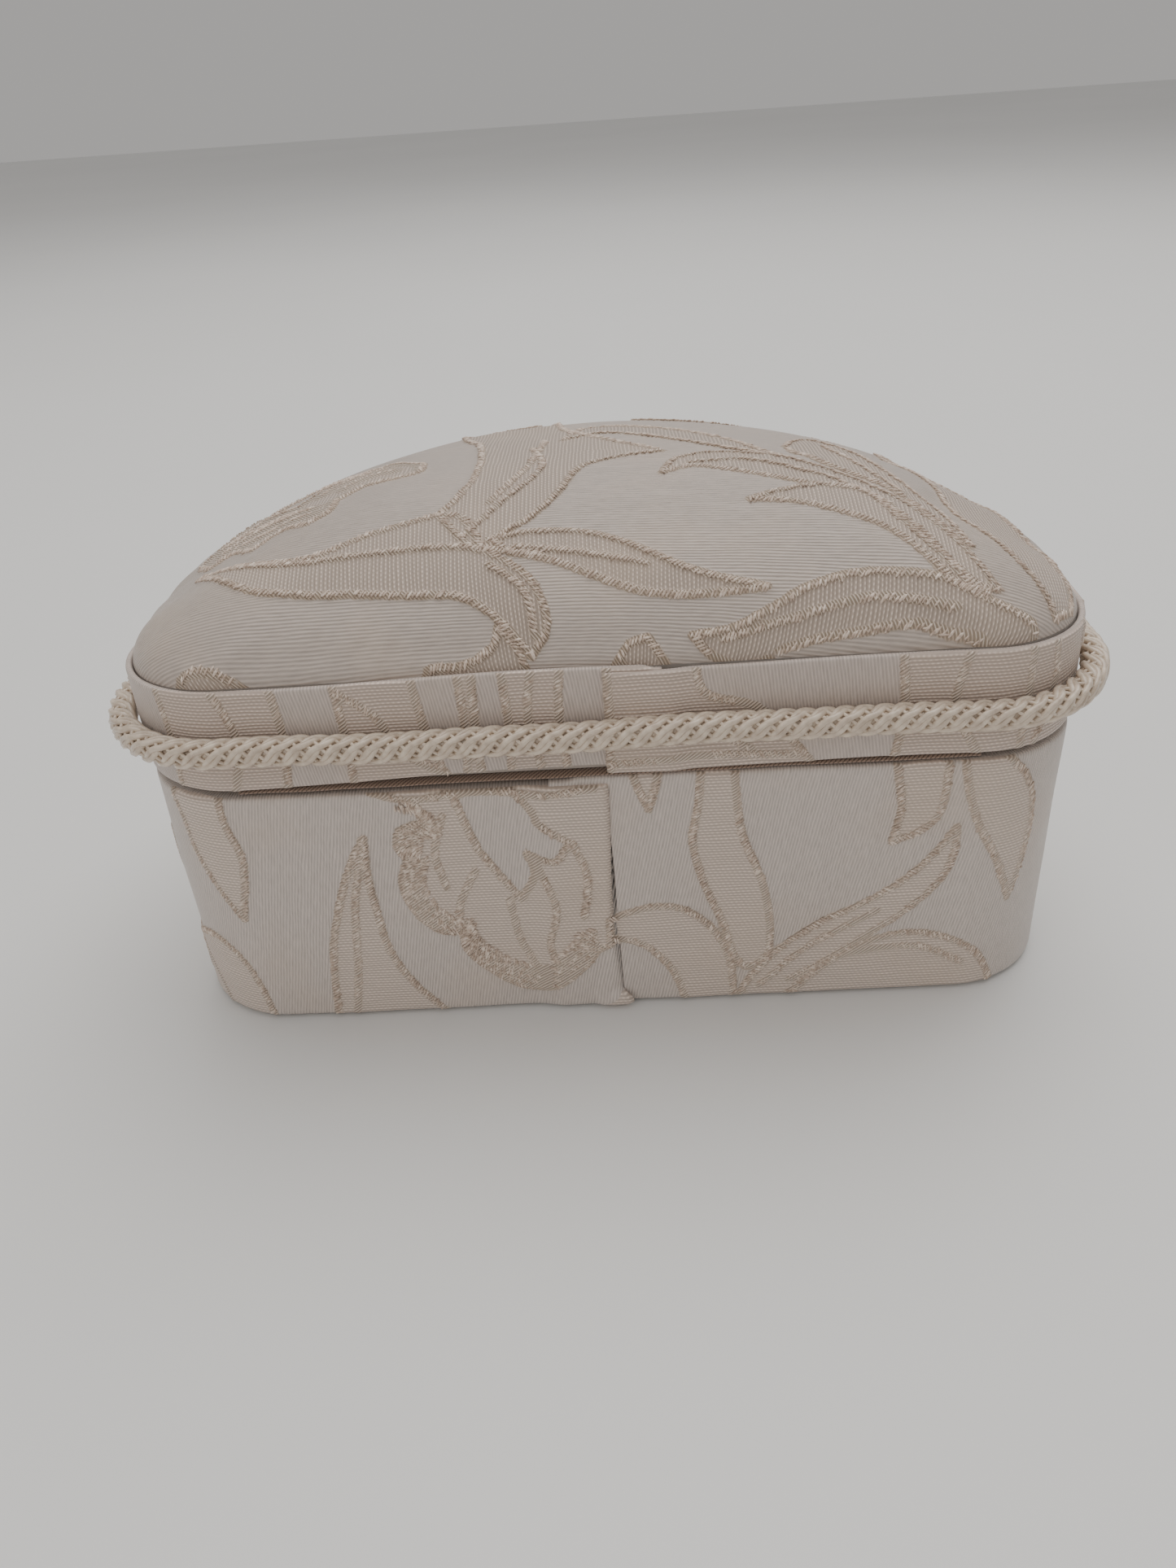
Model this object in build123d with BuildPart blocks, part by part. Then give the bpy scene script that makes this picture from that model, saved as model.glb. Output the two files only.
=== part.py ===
from build123d import *
import math
import os

# Half-moon jewelry case: a cloth-covered greyboard base, and a padded domed lid on a cloth hinge.
# Millimetres. +Z is up, the round front faces -Y and the straight hinged back faces +Y.
# The origin is on the surface that the case stands on, under the middle of its plan.

# ---- Plan outline, measured outside the cloth -------------------------------------------------
half_width = 75.0        # also the radius of the half-round front
corner_radius = 18.0     # the two back corners
side_straight = 4.0      # the short straight side between a corner and the round front
tightest_corner = 3.0    # pieces well inside the outline keep at least this corner
corner_share = 0.9       # but a corner takes up no more than this share of the straight side

# ---- Heights ----------------------------------------------------------------------------------
base_height = 45.8       # top of the base's outer wall
lid_gap = 1.5            # open slit between base and lid
band_height = 17.0       # the lid's straight side
dome_height = 20.0       # the padded top, above the band
dome_sections = 10

# ---- Sheet thicknesses ------------------------------------------------------------------------
wall_cloth = 0.7         # brocade glued on the base
top_cloth = 0.5          # brocade stretched over the dome
band_cloth = 1.2         # brocade strip folded double round the lid
felt = 0.5
base_wall_card = 3.0
base_floor_card = 2.0
lid_rim_card = 2.0
lid_top_card = 2.0
lining_card = 1.2
lining_cloth = 0.5

# ---- Outside details --------------------------------------------------------------------------
felt_inset = 4.0         # the felt stops this far inside the base's edge
turn_in = 9.0            # width of the wall cloth glued under the base
seam_lap = 9.0           # where a strip's end lies over its beginning, at the back
seam_cloth = 0.6         # how far that lap stands out
cord_diameter = 5.2
cord_height = 8.0        # middle of the cord, above the lid's lower edge

# ---- Hinge and stays --------------------------------------------------------------------------
hinge_cloth_thickness = 0.5
hinge_glue = 12.0        # height of hinge cloth glued to the base, and to the lid
hinge_clearance = 0.2    # the lid turns about a line this far behind the lapped seams
lid_open_angle = 105.0   # the stays stop the lid here
stay_reach = 35.0        # from the hinge line to where a stay is glued
stay_width = 7.0
stay_thickness = 0.5
stay_glue = 5.0          # height of ribbon glued to each lining

# ---- Inside -----------------------------------------------------------------------------------
pad_thickness = 3.0
divider_thickness = 2.2
divider_height = 32.0
divider_spread = 44.0    # the two cross dividers stand this far either side of the middle
back_row_depth = 36.9    # from the back lining to the long divider
roll_count = 4
roll_height = 20.0
roll_gap = 0.3
bed_height = 8.0
loose = 0.2              # clearance round pieces that are dropped in
seat_gap = 0.3           # between the two linings, where the lid comes down
lining_stand = 0.8       # the base's lining stands this far above its wall

# ---- Lid's inside -----------------------------------------------------------------------------
ceiling_pad = 4.0
mirror_thickness = 1.8
mirror_margin = 11.0     # from the lid's lining to the mirror's edge
mirror_lap = 2.0         # the frame holds this much of the mirror's edge
frame_front = 1.5        # thickness of the frame in front of the mirror

# ---- Catch ------------------------------------------------------------------------------------
magnet_length, magnet_depth, magnet_height = 12.0, 2.0, 5.0
keeper_thickness = 1.0

# ---- Worked-out places ------------------------------------------------------------------------
depth = corner_radius + side_straight + half_width
back_y = depth / 2
front_y = -depth / 2
round_y = front_y + half_width             # middle of the round front
corner_x = half_width - corner_radius      # the straight back runs between these

base_side = wall_cloth + base_wall_card    # inner face of both walls, from the outside
lid_side = band_cloth + top_cloth + lid_rim_card
lining_side = base_side + lining_card
inside = lining_side + lining_cloth

floor_z = felt + wall_cloth                # underside of the base's board
wall_top_z = base_height - wall_cloth
pad_z = floor_z + base_floor_card
inside_floor_z = pad_z + pad_thickness
lining_top_z = base_height + lining_stand
lid_z = base_height + lid_gap
lid_lining_z = lining_top_z + seat_gap
band_top_z = lid_z + band_height
lid_card_z = lid_z + top_cloth
top_card_z = band_top_z - lid_top_card
ceiling_z = top_card_z - ceiling_pad
mirror_z = ceiling_z - mirror_thickness
frame_z = mirror_z - frame_front

hinge_y = back_y + seam_cloth + hinge_clearance
hinge_z = base_height + lid_gap / 2

parts = []


def outline(inset):
    """The case's half-moon plan, drawn this far inside its outside."""
    width = half_width - inset
    back = back_y - inset
    corner = min(max(corner_radius - inset, tightest_corner), corner_share * (back - round_y))
    turn_x = width - corner
    turn_y = back - corner
    with BuildSketch() as sketch:
        with BuildLine():
            Line((-turn_x, back), (turn_x, back))
            CenterArc((turn_x, turn_y), corner, 0, 90)
            Line((width, turn_y), (width, round_y))
            CenterArc((0, round_y), width, 180, 180)
            Line((-width, round_y), (-width, turn_y))
            CenterArc((-turn_x, turn_y), corner, 90, 90)
        make_face()
    return sketch.sketch


def plate(inset, low_z, high_z):
    """A flat piece of the plan's shape."""
    with BuildPart() as piece:
        with BuildSketch(Plane.XY.offset(low_z)):
            add(outline(inset))
        extrude(amount=high_z - low_z)
    return piece.part


def ring(outer_inset, inner_inset, low_z, high_z):
    """A wall that follows the plan."""
    with BuildPart() as piece:
        with BuildSketch(Plane.XY.offset(low_z)):
            add(outline(outer_inset))
            add(outline(inner_inset), mode=Mode.SUBTRACT)
        extrude(amount=high_z - low_z)
    return piece.part


def seam(side, low_z, high_z):
    """The lapped end of a cloth strip, standing out beside the middle of the back."""
    with BuildPart() as piece:
        with Locations((side * seam_lap / 2, back_y, low_z)):
            Box(seam_lap, seam_cloth, high_z - low_z, align=(Align.CENTER, Align.MIN, Align.MIN))
    return piece.part


def hinge_strip():
    """The cloth glued inside both back walls, which is the hinge, with a step if they differ."""
    near, far = sorted((base_side, lid_side))
    low_z = hinge_z - hinge_glue
    high_z = hinge_z + hinge_glue
    cloth = hinge_cloth_thickness
    align = (Align.CENTER, Align.MAX, Align.MIN)
    with BuildPart() as piece:
        with Locations((0, back_y - base_side, low_z)):
            Box(2 * corner_x, cloth, base_height - low_z, align=align)
        with Locations((0, back_y - near, base_height)):
            Box(2 * corner_x, far - near + cloth, lid_gap, align=align)
        with Locations((0, back_y - lid_side, lid_z)):
            Box(2 * corner_x, cloth, high_z - lid_z, align=align)
    return piece.part


def dome(inset, height):
    """A padded top: the plan's shape drawn in, section by section, up to its crown."""
    with BuildPart() as piece:
        for step in range(dome_sections):
            share = math.cos(math.radians(step * 84 / (dome_sections - 1)))
            rise = height * (1 - share ** 2.4) ** 0.62
            with BuildSketch(Plane.XY.offset(band_top_z + rise)):
                add(scale(outline(inset), by=share))
        loft(ruled=True)
    return piece.part


def lining_width(y):
    """Half the width between the linings at this distance along Y."""
    reach = half_width - inside
    return math.sqrt(reach ** 2 - min(0.0, y - round_y) ** 2)


def keep(piece, name):
    """Names a finished piece and writes its file."""
    solids = piece.part if isinstance(piece, BuildPart) else piece
    solids.label = name
    export_step(solids, f"parts/{name}.step")
    parts.append(solids)


os.makedirs("parts", exist_ok=True)

# ==== Base =====================================================================================

with BuildPart() as base_bottom_felt:
    add(plate(felt_inset, 0, felt))
keep(base_bottom_felt, "base_bottom_felt")

# Levels the underside inside the glued-down edge of the wall cloth.
with BuildPart() as base_filler:
    add(plate(turn_in, felt, floor_z))
keep(base_filler, "base_filler")

with BuildPart() as base_board:
    add(plate(base_side, floor_z, pad_z))
keep(base_board, "base_board")

# A strip of board bent round the floor, with a pocket for the magnet in its front top edge.
with BuildPart() as base_wall_board:
    add(ring(wall_cloth, base_side, floor_z, wall_top_z))
    magnet_y = front_y + wall_cloth + base_wall_card / 2
    with Locations((0, magnet_y, wall_top_z)):
        Box(
            magnet_length, magnet_depth, magnet_height,
            align=(Align.CENTER, Align.CENTER, Align.MAX), mode=Mode.SUBTRACT,
        )
keep(base_wall_board, "base_wall_board")

with BuildPart() as base_magnet:
    with Locations((0, magnet_y, wall_top_z)):
        Box(
            magnet_length, magnet_depth, magnet_height,
            align=(Align.CENTER, Align.CENTER, Align.MAX),
        )
keep(base_magnet, "base_magnet")

# One strip round the wall, turned over its top edge and glued down under the floor.
with BuildPart() as base_wall_cloth:
    add(ring(0, wall_cloth, felt, base_height))
    add(ring(wall_cloth, base_side, wall_top_z, base_height))
    add(ring(wall_cloth, turn_in, felt, floor_z))
    add(seam(1, felt, base_height))
keep(base_wall_cloth, "base_wall_cloth")

with BuildPart() as hinge_cloth:
    add(hinge_strip())
keep(hinge_cloth, "hinge_cloth")

# The lining is a card strip covered with cloth. Its top edge is what the lid comes down on.
with BuildPart() as base_lining_card:
    add(ring(base_side, lining_side, pad_z, lining_top_z - lining_cloth))
    add(hinge_strip(), mode=Mode.SUBTRACT)
keep(base_lining_card, "base_lining_card")

with BuildPart() as base_lining_cloth:
    add(ring(lining_side, inside, pad_z, lining_top_z))
    add(ring(base_side, lining_side, lining_top_z - lining_cloth, lining_top_z))
    add(hinge_strip(), mode=Mode.SUBTRACT)
keep(base_lining_cloth, "base_lining_cloth")

with BuildPart() as base_floor_pad:
    add(plate(inside, pad_z, inside_floor_z))
    fillet(base_floor_pad.edges().group_by(Axis.Z)[-1], pad_thickness / 3)
keep(base_floor_pad, "base_floor_pad")

# Three padded dividers, halved into each other like an egg crate.
long_y = back_y - inside - back_row_depth - divider_thickness / 2
divider_top_z = inside_floor_z + divider_height
half_lap_z = inside_floor_z + divider_height / 2
slot_width = divider_thickness + loose
long_reach = lining_width(long_y - divider_thickness / 2) - loose

with BuildPart() as long_divider:
    with Locations((0, long_y, inside_floor_z)):
        Box(
            2 * long_reach, divider_thickness, divider_height,
            align=(Align.CENTER, Align.CENTER, Align.MIN),
        )
    fillet(long_divider.edges().group_by(Axis.Z)[-1].filter_by(Axis.X), divider_thickness / 3)
    with Locations((-divider_spread, long_y, half_lap_z), (divider_spread, long_y, half_lap_z)):
        Box(
            slot_width, divider_thickness, divider_height,
            align=(Align.CENTER, Align.CENTER, Align.MIN), mode=Mode.SUBTRACT,
        )
keep(long_divider, "long_divider")

# A cross divider runs from the back lining to where the round front crosses its outer face.
cross_outer_x = divider_spread + divider_thickness / 2
cross_front_y = round_y - math.sqrt((half_width - inside) ** 2 - cross_outer_x ** 2) + loose
cross_back_y = back_y - inside - loose
for side, name in ((-1, "cross_divider_left"), (1, "cross_divider_right")):
    with BuildPart() as cross_divider:
        with Locations((side * divider_spread, cross_back_y, inside_floor_z)):
            Box(
                divider_thickness, cross_back_y - cross_front_y, divider_height,
                align=(Align.CENTER, Align.MAX, Align.MIN),
            )
        top_edges = cross_divider.edges().group_by(Axis.Z)[-1].filter_by(Axis.Y)
        fillet(top_edges, divider_thickness / 3)
        with Locations((side * divider_spread, long_y, half_lap_z)):
            Box(
                divider_thickness, slot_width, divider_height,
                align=(Align.CENTER, Align.CENTER, Align.MAX), mode=Mode.SUBTRACT,
            )
    keep(cross_divider, name)

# The ring rolls stand side by side on a foam bed, between the cross dividers.
bay_length = 2 * (divider_spread - divider_thickness / 2 - loose)
bay_back_y = back_y - inside - loose
bay_depth = back_row_depth - 2 * loose
roll_width = (bay_depth - (roll_count - 1) * roll_gap) / roll_count
bed_top_z = inside_floor_z + bed_height

with BuildPart() as ring_bed:
    with Locations((0, bay_back_y, inside_floor_z)):
        Box(bay_length, bay_depth, bed_height, align=(Align.CENTER, Align.MAX, Align.MIN))
keep(ring_bed, "ring_bed")

for number in range(roll_count):
    roll_y = bay_back_y - roll_width / 2 - number * (roll_width + roll_gap)
    with BuildPart() as ring_roll:
        with BuildSketch(Plane.YZ.offset(-bay_length / 2)):
            with Locations((roll_y, bed_top_z)):
                Rectangle(roll_width, roll_height - roll_width / 2, align=(Align.CENTER, Align.MIN))
            with Locations((roll_y, bed_top_z + roll_height - roll_width / 2)):
                Circle(roll_width / 2)
        extrude(amount=bay_length)
    keep(ring_roll, f"ring_roll_{number + 1}")

# The two stays lie folded against the side linings while the lid is shut.
stay_y = hinge_y - stay_reach
stay_fold_y = hinge_y - stay_reach * math.cos(math.radians(lid_open_angle / 2))
stay_front_y = stay_y - stay_width / 2
stay_low_z = lining_top_z - stay_glue - stay_width / 2
stay_high_z = lid_lining_z + stay_glue
stay_x = lining_width(stay_front_y) - loose
for side, name in ((-1, "stay_ribbon_left"), (1, "stay_ribbon_right")):
    with BuildPart() as stay_ribbon:
        with Locations((side * (stay_x - stay_thickness / 2), stay_front_y, stay_low_z)):
            Box(
                stay_thickness, stay_fold_y + stay_width / 2 - stay_front_y,
                stay_high_z - stay_low_z, align=(Align.CENTER, Align.MIN, Align.MIN),
            )
    keep(stay_ribbon, name)

# ==== Lid ======================================================================================

keeper_y = front_y + band_cloth + top_cloth + lid_rim_card / 2

with BuildPart() as lid_rim_board:
    add(ring(band_cloth + top_cloth, lid_side, lid_card_z, top_card_z))
    with Locations((0, keeper_y, lid_card_z)):
        Box(
            magnet_length, keeper_thickness, magnet_height,
            align=(Align.CENTER, Align.CENTER, Align.MIN), mode=Mode.SUBTRACT,
        )
keep(lid_rim_board, "lid_rim_board")

with BuildPart() as lid_keeper:
    with Locations((0, keeper_y, lid_card_z)):
        Box(
            magnet_length, keeper_thickness, magnet_height,
            align=(Align.CENTER, Align.CENTER, Align.MIN),
        )
keep(lid_keeper, "lid_keeper")

with BuildPart() as lid_top_board:
    add(plate(band_cloth + top_cloth, top_card_z, band_top_z))
keep(lid_top_board, "lid_top_board")

with BuildPart() as lid_padding:
    add(dome(band_cloth + top_cloth, dome_height - top_cloth))
keep(lid_padding, "lid_padding")

# Stretched over the padding, pulled down the rim and turned under its edge.
with BuildPart() as lid_top_cloth:
    add(dome(band_cloth, dome_height))
    add(lid_padding.part, mode=Mode.SUBTRACT)
    add(ring(band_cloth, band_cloth + top_cloth, lid_z, band_top_z))
    add(ring(band_cloth + top_cloth, lid_side, lid_z, lid_card_z))
keep(lid_top_cloth, "lid_top_cloth")

with BuildPart() as lid_band_cloth:
    add(ring(0, band_cloth, lid_z, band_top_z))
    add(seam(-1, lid_z, band_top_z))
keep(lid_band_cloth, "lid_band_cloth")

# The twisted cord is glued round the band, and is squeezed where it passes over the lapped seam.
with BuildPart() as lid_trim_cord:
    with BuildLine() as cord_route:
        add(outline(-cord_diameter / 2).wires()[0].moved(Location((0, 0, lid_z + cord_height))))
    cord_start = Plane(
        origin=(-corner_x, back_y + cord_diameter / 2, lid_z + cord_height), z_dir=(1, 0, 0)
    )
    with BuildSketch(cord_start):
        Circle(cord_diameter / 2)
    sweep(path=cord_route.wires()[0])
    add(seam(-1, lid_z, band_top_z), mode=Mode.SUBTRACT)
keep(lid_trim_cord, "lid_trim_cord")

with BuildPart() as lid_lining_card:
    add(ring(lid_side, lining_side, lid_lining_z + lining_cloth, top_card_z))
    add(hinge_strip(), mode=Mode.SUBTRACT)
keep(lid_lining_card, "lid_lining_card")

with BuildPart() as lid_lining_cloth:
    add(ring(lining_side, inside, lid_lining_z, top_card_z))
    add(ring(lid_side, lining_side, lid_lining_z, lid_lining_z + lining_cloth))
    add(hinge_strip(), mode=Mode.SUBTRACT)
keep(lid_lining_cloth, "lid_lining_cloth")

with BuildPart() as lid_ceiling_pad:
    add(plate(inside, ceiling_z, top_card_z))
keep(lid_ceiling_pad, "lid_ceiling_pad")

with BuildPart() as lid_mirror:
    add(plate(inside + mirror_margin, mirror_z, ceiling_z))
keep(lid_mirror, "lid_mirror")

# A covered card frame, rebated behind to hold the mirror against the ceiling.
with BuildPart() as lid_mirror_frame:
    add(ring(inside + loose, inside + mirror_margin - loose, mirror_z, ceiling_z))
    add(ring(inside + loose, inside + mirror_margin + mirror_lap, frame_z, mirror_z))
    outer_edges = lid_mirror_frame.edges().group_by(Axis.Z)[0]
    fillet(outer_edges, frame_front / 3)
keep(lid_mirror_frame, "lid_mirror_frame")

whole = Compound(children=parts)
print("pieces", len(parts), "size", whole.bounding_box().size)
print("hinge line y", round(hinge_y, 3), "z", round(hinge_z, 3))
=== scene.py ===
import math
import bmesh
import bpy
import numpy as np
from mathutils import Matrix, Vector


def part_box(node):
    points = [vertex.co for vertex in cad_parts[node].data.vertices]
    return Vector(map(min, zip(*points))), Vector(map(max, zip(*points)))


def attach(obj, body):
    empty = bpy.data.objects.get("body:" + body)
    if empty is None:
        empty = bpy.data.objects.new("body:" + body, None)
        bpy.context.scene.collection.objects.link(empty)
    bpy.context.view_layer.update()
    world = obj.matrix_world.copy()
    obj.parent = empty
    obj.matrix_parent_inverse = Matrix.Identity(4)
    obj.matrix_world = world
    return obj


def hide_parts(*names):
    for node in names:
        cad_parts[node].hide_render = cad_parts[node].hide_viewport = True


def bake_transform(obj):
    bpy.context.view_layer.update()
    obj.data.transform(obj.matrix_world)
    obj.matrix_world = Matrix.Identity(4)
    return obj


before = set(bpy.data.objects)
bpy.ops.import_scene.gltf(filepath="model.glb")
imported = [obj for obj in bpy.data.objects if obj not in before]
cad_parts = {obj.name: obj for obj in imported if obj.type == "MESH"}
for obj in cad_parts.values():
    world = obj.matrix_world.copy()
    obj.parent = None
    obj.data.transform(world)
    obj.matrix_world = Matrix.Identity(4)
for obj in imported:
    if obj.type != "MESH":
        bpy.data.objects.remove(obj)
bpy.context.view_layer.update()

# ==== Boards ===================================================================================
# Grey bookbinder's board: the floor with the wall strip bent round it, the lid's rim and top, and
# the thin card behind both linings. It is pulp with darker flecks, cut with a knife.


def put(tree, kind, inputs=None, **settings):
    """Adds a node. inputs gives each socket a value, or the output that feeds it."""
    node = tree.nodes.new(kind)
    for key, value in settings.items():
        setattr(node, key, value)
    for key, value in (inputs or {}).items():
        if isinstance(value, bpy.types.NodeSocket):
            tree.links.new(value, node.inputs[key])
        else:
            node.inputs[key].default_value = value
    return node


def maths(tree, operation, *values):
    """One step of arithmetic on numbers, in a shader or a geometry tree."""
    node = put(tree, "ShaderNodeMath", dict(enumerate(values)), operation=operation)
    return node.outputs[0]


def finish_material(name):
    """A new material, its node tree and its Principled BSDF."""
    material = bpy.data.materials.new(name)
    material.use_nodes = True
    tree = material.node_tree
    return material, tree, tree.nodes["Principled BSDF"]


def object_coordinates(tree):
    """The output that gives each point's place on its own object."""
    return put(tree, "ShaderNodeTexCoord").outputs["Object"]


def colour_steps(tree, value, *steps):
    """Colours along a 0 to 1 value, each given as (place, (red, green, blue))."""
    ramp = put(tree, "ShaderNodeValToRGB", {"Fac": value})
    marks = ramp.color_ramp.elements
    while len(marks) < len(steps):
        marks.new(0.5)
    for mark, (place, colour) in zip(marks, steps):
        mark.position = place
        mark.color = (*colour, 1)
    return ramp.outputs["Color"]


def speckled(name, scale, detail, steps, roughness, sheen=0.0, bump=None, stretch=None):
    """A finish whose colour, and relief if bump gives (strength, metres), follow a fine noise."""
    material, tree, surface = finish_material(name)
    place = object_coordinates(tree)
    if stretch:
        place = put(tree, "ShaderNodeMapping", {"Vector": place, "Scale": stretch}).outputs[0]
    noise = put(tree, "ShaderNodeTexNoise", {"Vector": place, "Scale": scale, "Detail": detail})
    speckles = noise.outputs["Fac"]
    tree.links.new(colour_steps(tree, speckles, *steps), surface.inputs["Base Color"])
    surface.inputs["Roughness"].default_value = roughness
    surface.inputs["Sheen Weight"].default_value = sheen
    if bump:
        bumped(tree, surface, speckles, *bump)
    return material, surface


def bumped(tree, surface, height, strength, metres):
    """Gives a finish its fine relief."""
    node = put(tree, "ShaderNodeBump", {"Height": height, "Strength": strength, "Distance": metres})
    tree.links.new(node.outputs["Normal"], surface.inputs["Normal"])


board_steps = (0.30, (0.20, 0.18, 0.16)), (0.45, (0.42, 0.39, 0.35)), (0.8, (0.52, 0.49, 0.44))
greyboard, _ = speckled("greyboard", 900, 5, board_steps, 0.9, bump=(0.4, 0.0002))


def dress(node_name, material):
    """A CAD node that keeps its shape gets its real finish."""
    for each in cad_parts[node_name].material_slots:
        each.material = material


for board in (
    "base_filler", "base_board", "base_wall_board", "base_lining_card",
    "lid_rim_board", "lid_top_board", "lid_lining_card",
):
    dress(board, greyboard)

# ==== Catch ====================================================================================
# A small bar magnet let into the base's front edge, and a steel strip opposite in the lid's rim.

metal_steps = (0.3, (0.30, 0.30, 0.31)), (0.7, (0.55, 0.55, 0.56))
brushing = (60, 3000, 3000)
catch_metal, metal_surface = speckled("catch_metal", 1.0, 3, metal_steps, 0.38, stretch=brushing)
metal_surface.inputs["Metallic"].default_value = 1.0
dress("base_magnet", catch_metal)
dress("lid_keeper", catch_metal)

# ==== Wall cloth ===============================================================================
# One strip of figured satin round the base, glued down under the floor and turned over the top
# edge. Its ends meet in the middle of the back: the end from the +X side lies on top, folded, and
# the other end runs under it. Leaves and a flower are woven in rib, with raised corded outlines.

wall_low, wall_high = (np.array(corner) * 1000 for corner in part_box("base_wall_cloth"))
half_width = wall_high[0]
corner_radius = 18.0
side_straight = 4.0
round_y = wall_low[1] + half_width
back_y = round_y + side_straight + corner_radius
base_top = wall_high[2]
corner_start = half_width - corner_radius
side_start = corner_start + corner_radius * math.pi / 2
round_start = side_start + side_straight
half_girth = round_start + half_width * math.pi / 2


def plan(along, out=0.0):
    """Points and outward directions on the half-moon plan. along runs from the middle of the back
    towards +X, in mm, and out is the distance outside the cloth."""
    along = (np.asarray(along, float) + half_girth) % (2 * half_girth) - half_girth
    side = np.where(along < 0, -1.0, 1.0)
    run = np.abs(along)
    turn = np.clip((run - corner_start) / corner_radius, 0, math.pi / 2)
    sweep = np.clip((run - round_start) / half_width, 0, math.pi / 2)
    down = np.clip(run - side_start, 0, side_straight)
    x = np.minimum(run, corner_start) + corner_radius * np.sin(turn) - half_width * (1 - np.cos(sweep))
    y = back_y - corner_radius * (1 - np.cos(turn)) - down - half_width * np.sin(sweep)
    angle = turn + sweep
    normal_x = np.sin(angle) * side
    normal_y = np.cos(angle)
    return x * side + normal_x * out, y + normal_y * out, normal_x, normal_y


def quads(rows, columns, closed_rows=False, closed_columns=False):
    """Faces of a lattice of rows x columns points."""
    row, column = np.meshgrid(
        np.arange(rows if closed_rows else rows - 1),
        np.arange(columns if closed_columns else columns - 1), indexing="ij",
    )
    next_row = (row + 1) % rows
    next_column = (column + 1) % columns
    corners = (
        row * columns + column,
        row * columns + next_column,
        next_row * columns + next_column,
        next_row * columns + column,
    )
    return np.stack(corners, -1).reshape(-1, 4).tolist()


def make_piece(name, points, faces, material, smooth=True):
    """A mesh piece from points in mm, with its normals turned outwards."""
    mesh = bpy.data.meshes.new(name)
    mesh.from_pydata((np.asarray(points, float).reshape(-1, 3) * 0.001).tolist(), [], faces)
    work = bmesh.new()
    work.from_mesh(mesh)
    bmesh.ops.recalc_face_normals(work, faces=work.faces)
    work.to_mesh(mesh)
    work.free()
    mesh.polygons.foreach_set("use_smooth", [smooth] * len(mesh.polygons))
    mesh.materials.append(material)
    piece = bpy.data.objects.new(name, mesh)
    bpy.context.scene.collection.objects.link(piece)
    return piece


def give_value(piece, name, values):
    """A number at each of a piece's points, for its material."""
    layer = piece.data.attributes.new(name, "FLOAT", "POINT")
    layer.data.foreach_set("value", np.asarray(values, np.float32).ravel())


def give_uv(piece, across, up):
    """Lays the cloth's own millimetres on a piece, as its UV map."""
    corners = np.empty(len(piece.data.loops), np.int64)
    piece.data.loops.foreach_get("vertex_index", corners)
    pairs = np.stack((np.ravel(across), np.ravel(up)), 1)[corners]
    piece.data.uv_layers.new(name="cloth").data.foreach_set("uv", pairs.astype(np.float32).ravel())


def curve(points, spacing=0.5):
    """A smooth line through the points, as many short steps."""
    points = np.asarray(points, float)
    ends = np.vstack((2 * points[0] - points[1], points, 2 * points[-1] - points[-2]))
    steps = []
    for before, start, stop, after in zip(ends[:-3], ends[1:-2], ends[2:-1], ends[3:]):
        count = max(2, int(np.linalg.norm(stop - start) / spacing))
        t = np.linspace(0, 1, count, endpoint=False)[:, None]
        steps.append(
            start + 0.5 * t * (stop - before)
            + t ** 2 * (before - 2.5 * start + 2 * stop - 0.5 * after)
            + t ** 3 * 0.5 * (3 * (start - stop) + after - before)
        )
    steps.append(points[-1:])
    return np.vstack(steps)


def leaf(first, *others):
    """A closed outline whose edges are smooth and meet in points. Each edge goes on from the last
    point of the one before, and a straight edge closes a gap that is left at the end."""
    edges = [first]
    for edge in others:
        edges.append([edges[-1][-1], *edge])
    if edges[-1][-1] != first[0]:
        edges.append([edges[-1][-1], first[0]])
    return np.vstack([curve(edge)[:-1] for edge in edges])


def distance_inside(points, outline):
    """How far each point is inside a closed outline, in mm; negative outside."""
    start = outline
    stop = np.roll(outline, -1, axis=0)
    step = stop - start
    offset = points[:, None] - start[None]
    share = (offset * step).sum(-1) / np.maximum((step ** 2).sum(-1), 1e-9)
    nearest = offset - np.clip(share, 0, 1)[..., None] * step
    distance = np.sqrt((nearest ** 2).sum(-1).min(1))
    level = points[:, 1:2]
    crosses = (start[:, 1] > level) != (stop[:, 1] > level)
    rise = np.where(step[:, 1] == 0, 1e-9, step[:, 1])
    where = start[:, 0] + (level - start[:, 1]) * step[:, 0] / rise
    inside = (crosses & (points[:, 0:1] < where)).sum(1) % 2 == 1
    return np.where(inside, distance, -distance)


FAR = 5.0       # beyond this distance the weave doesn't care where an outline is


def weave_figure(points, leaves, openings=(), veins=()):
    """For each point of cloth: how far it is inside the figure, and how far from a corded line."""
    inside = np.full(len(points), -FAR)
    line = np.full(len(points), FAR)

    def near_to(outline):
        return np.all((points > outline.min(0) - FAR) & (points < outline.max(0) + FAR), axis=1)

    for number, outline in enumerate([*leaves, *openings]):
        near = near_to(outline)
        if not near.any():
            continue
        distance = distance_inside(points[near], outline)
        line[near] = np.minimum(line[near], np.abs(distance))
        if number < len(leaves):
            inside[near] = np.maximum(inside[near], distance)
        else:
            inside[near] = np.minimum(inside[near], -distance)
    for vein in veins:
        near = near_to(vein)
        if near.any():
            gap = np.linalg.norm(points[near][:, None] - vein[None], axis=-1).min(1)
            line[near] = np.minimum(line[near], gap)
    return np.clip(inside, -FAR, FAR), line


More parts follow.
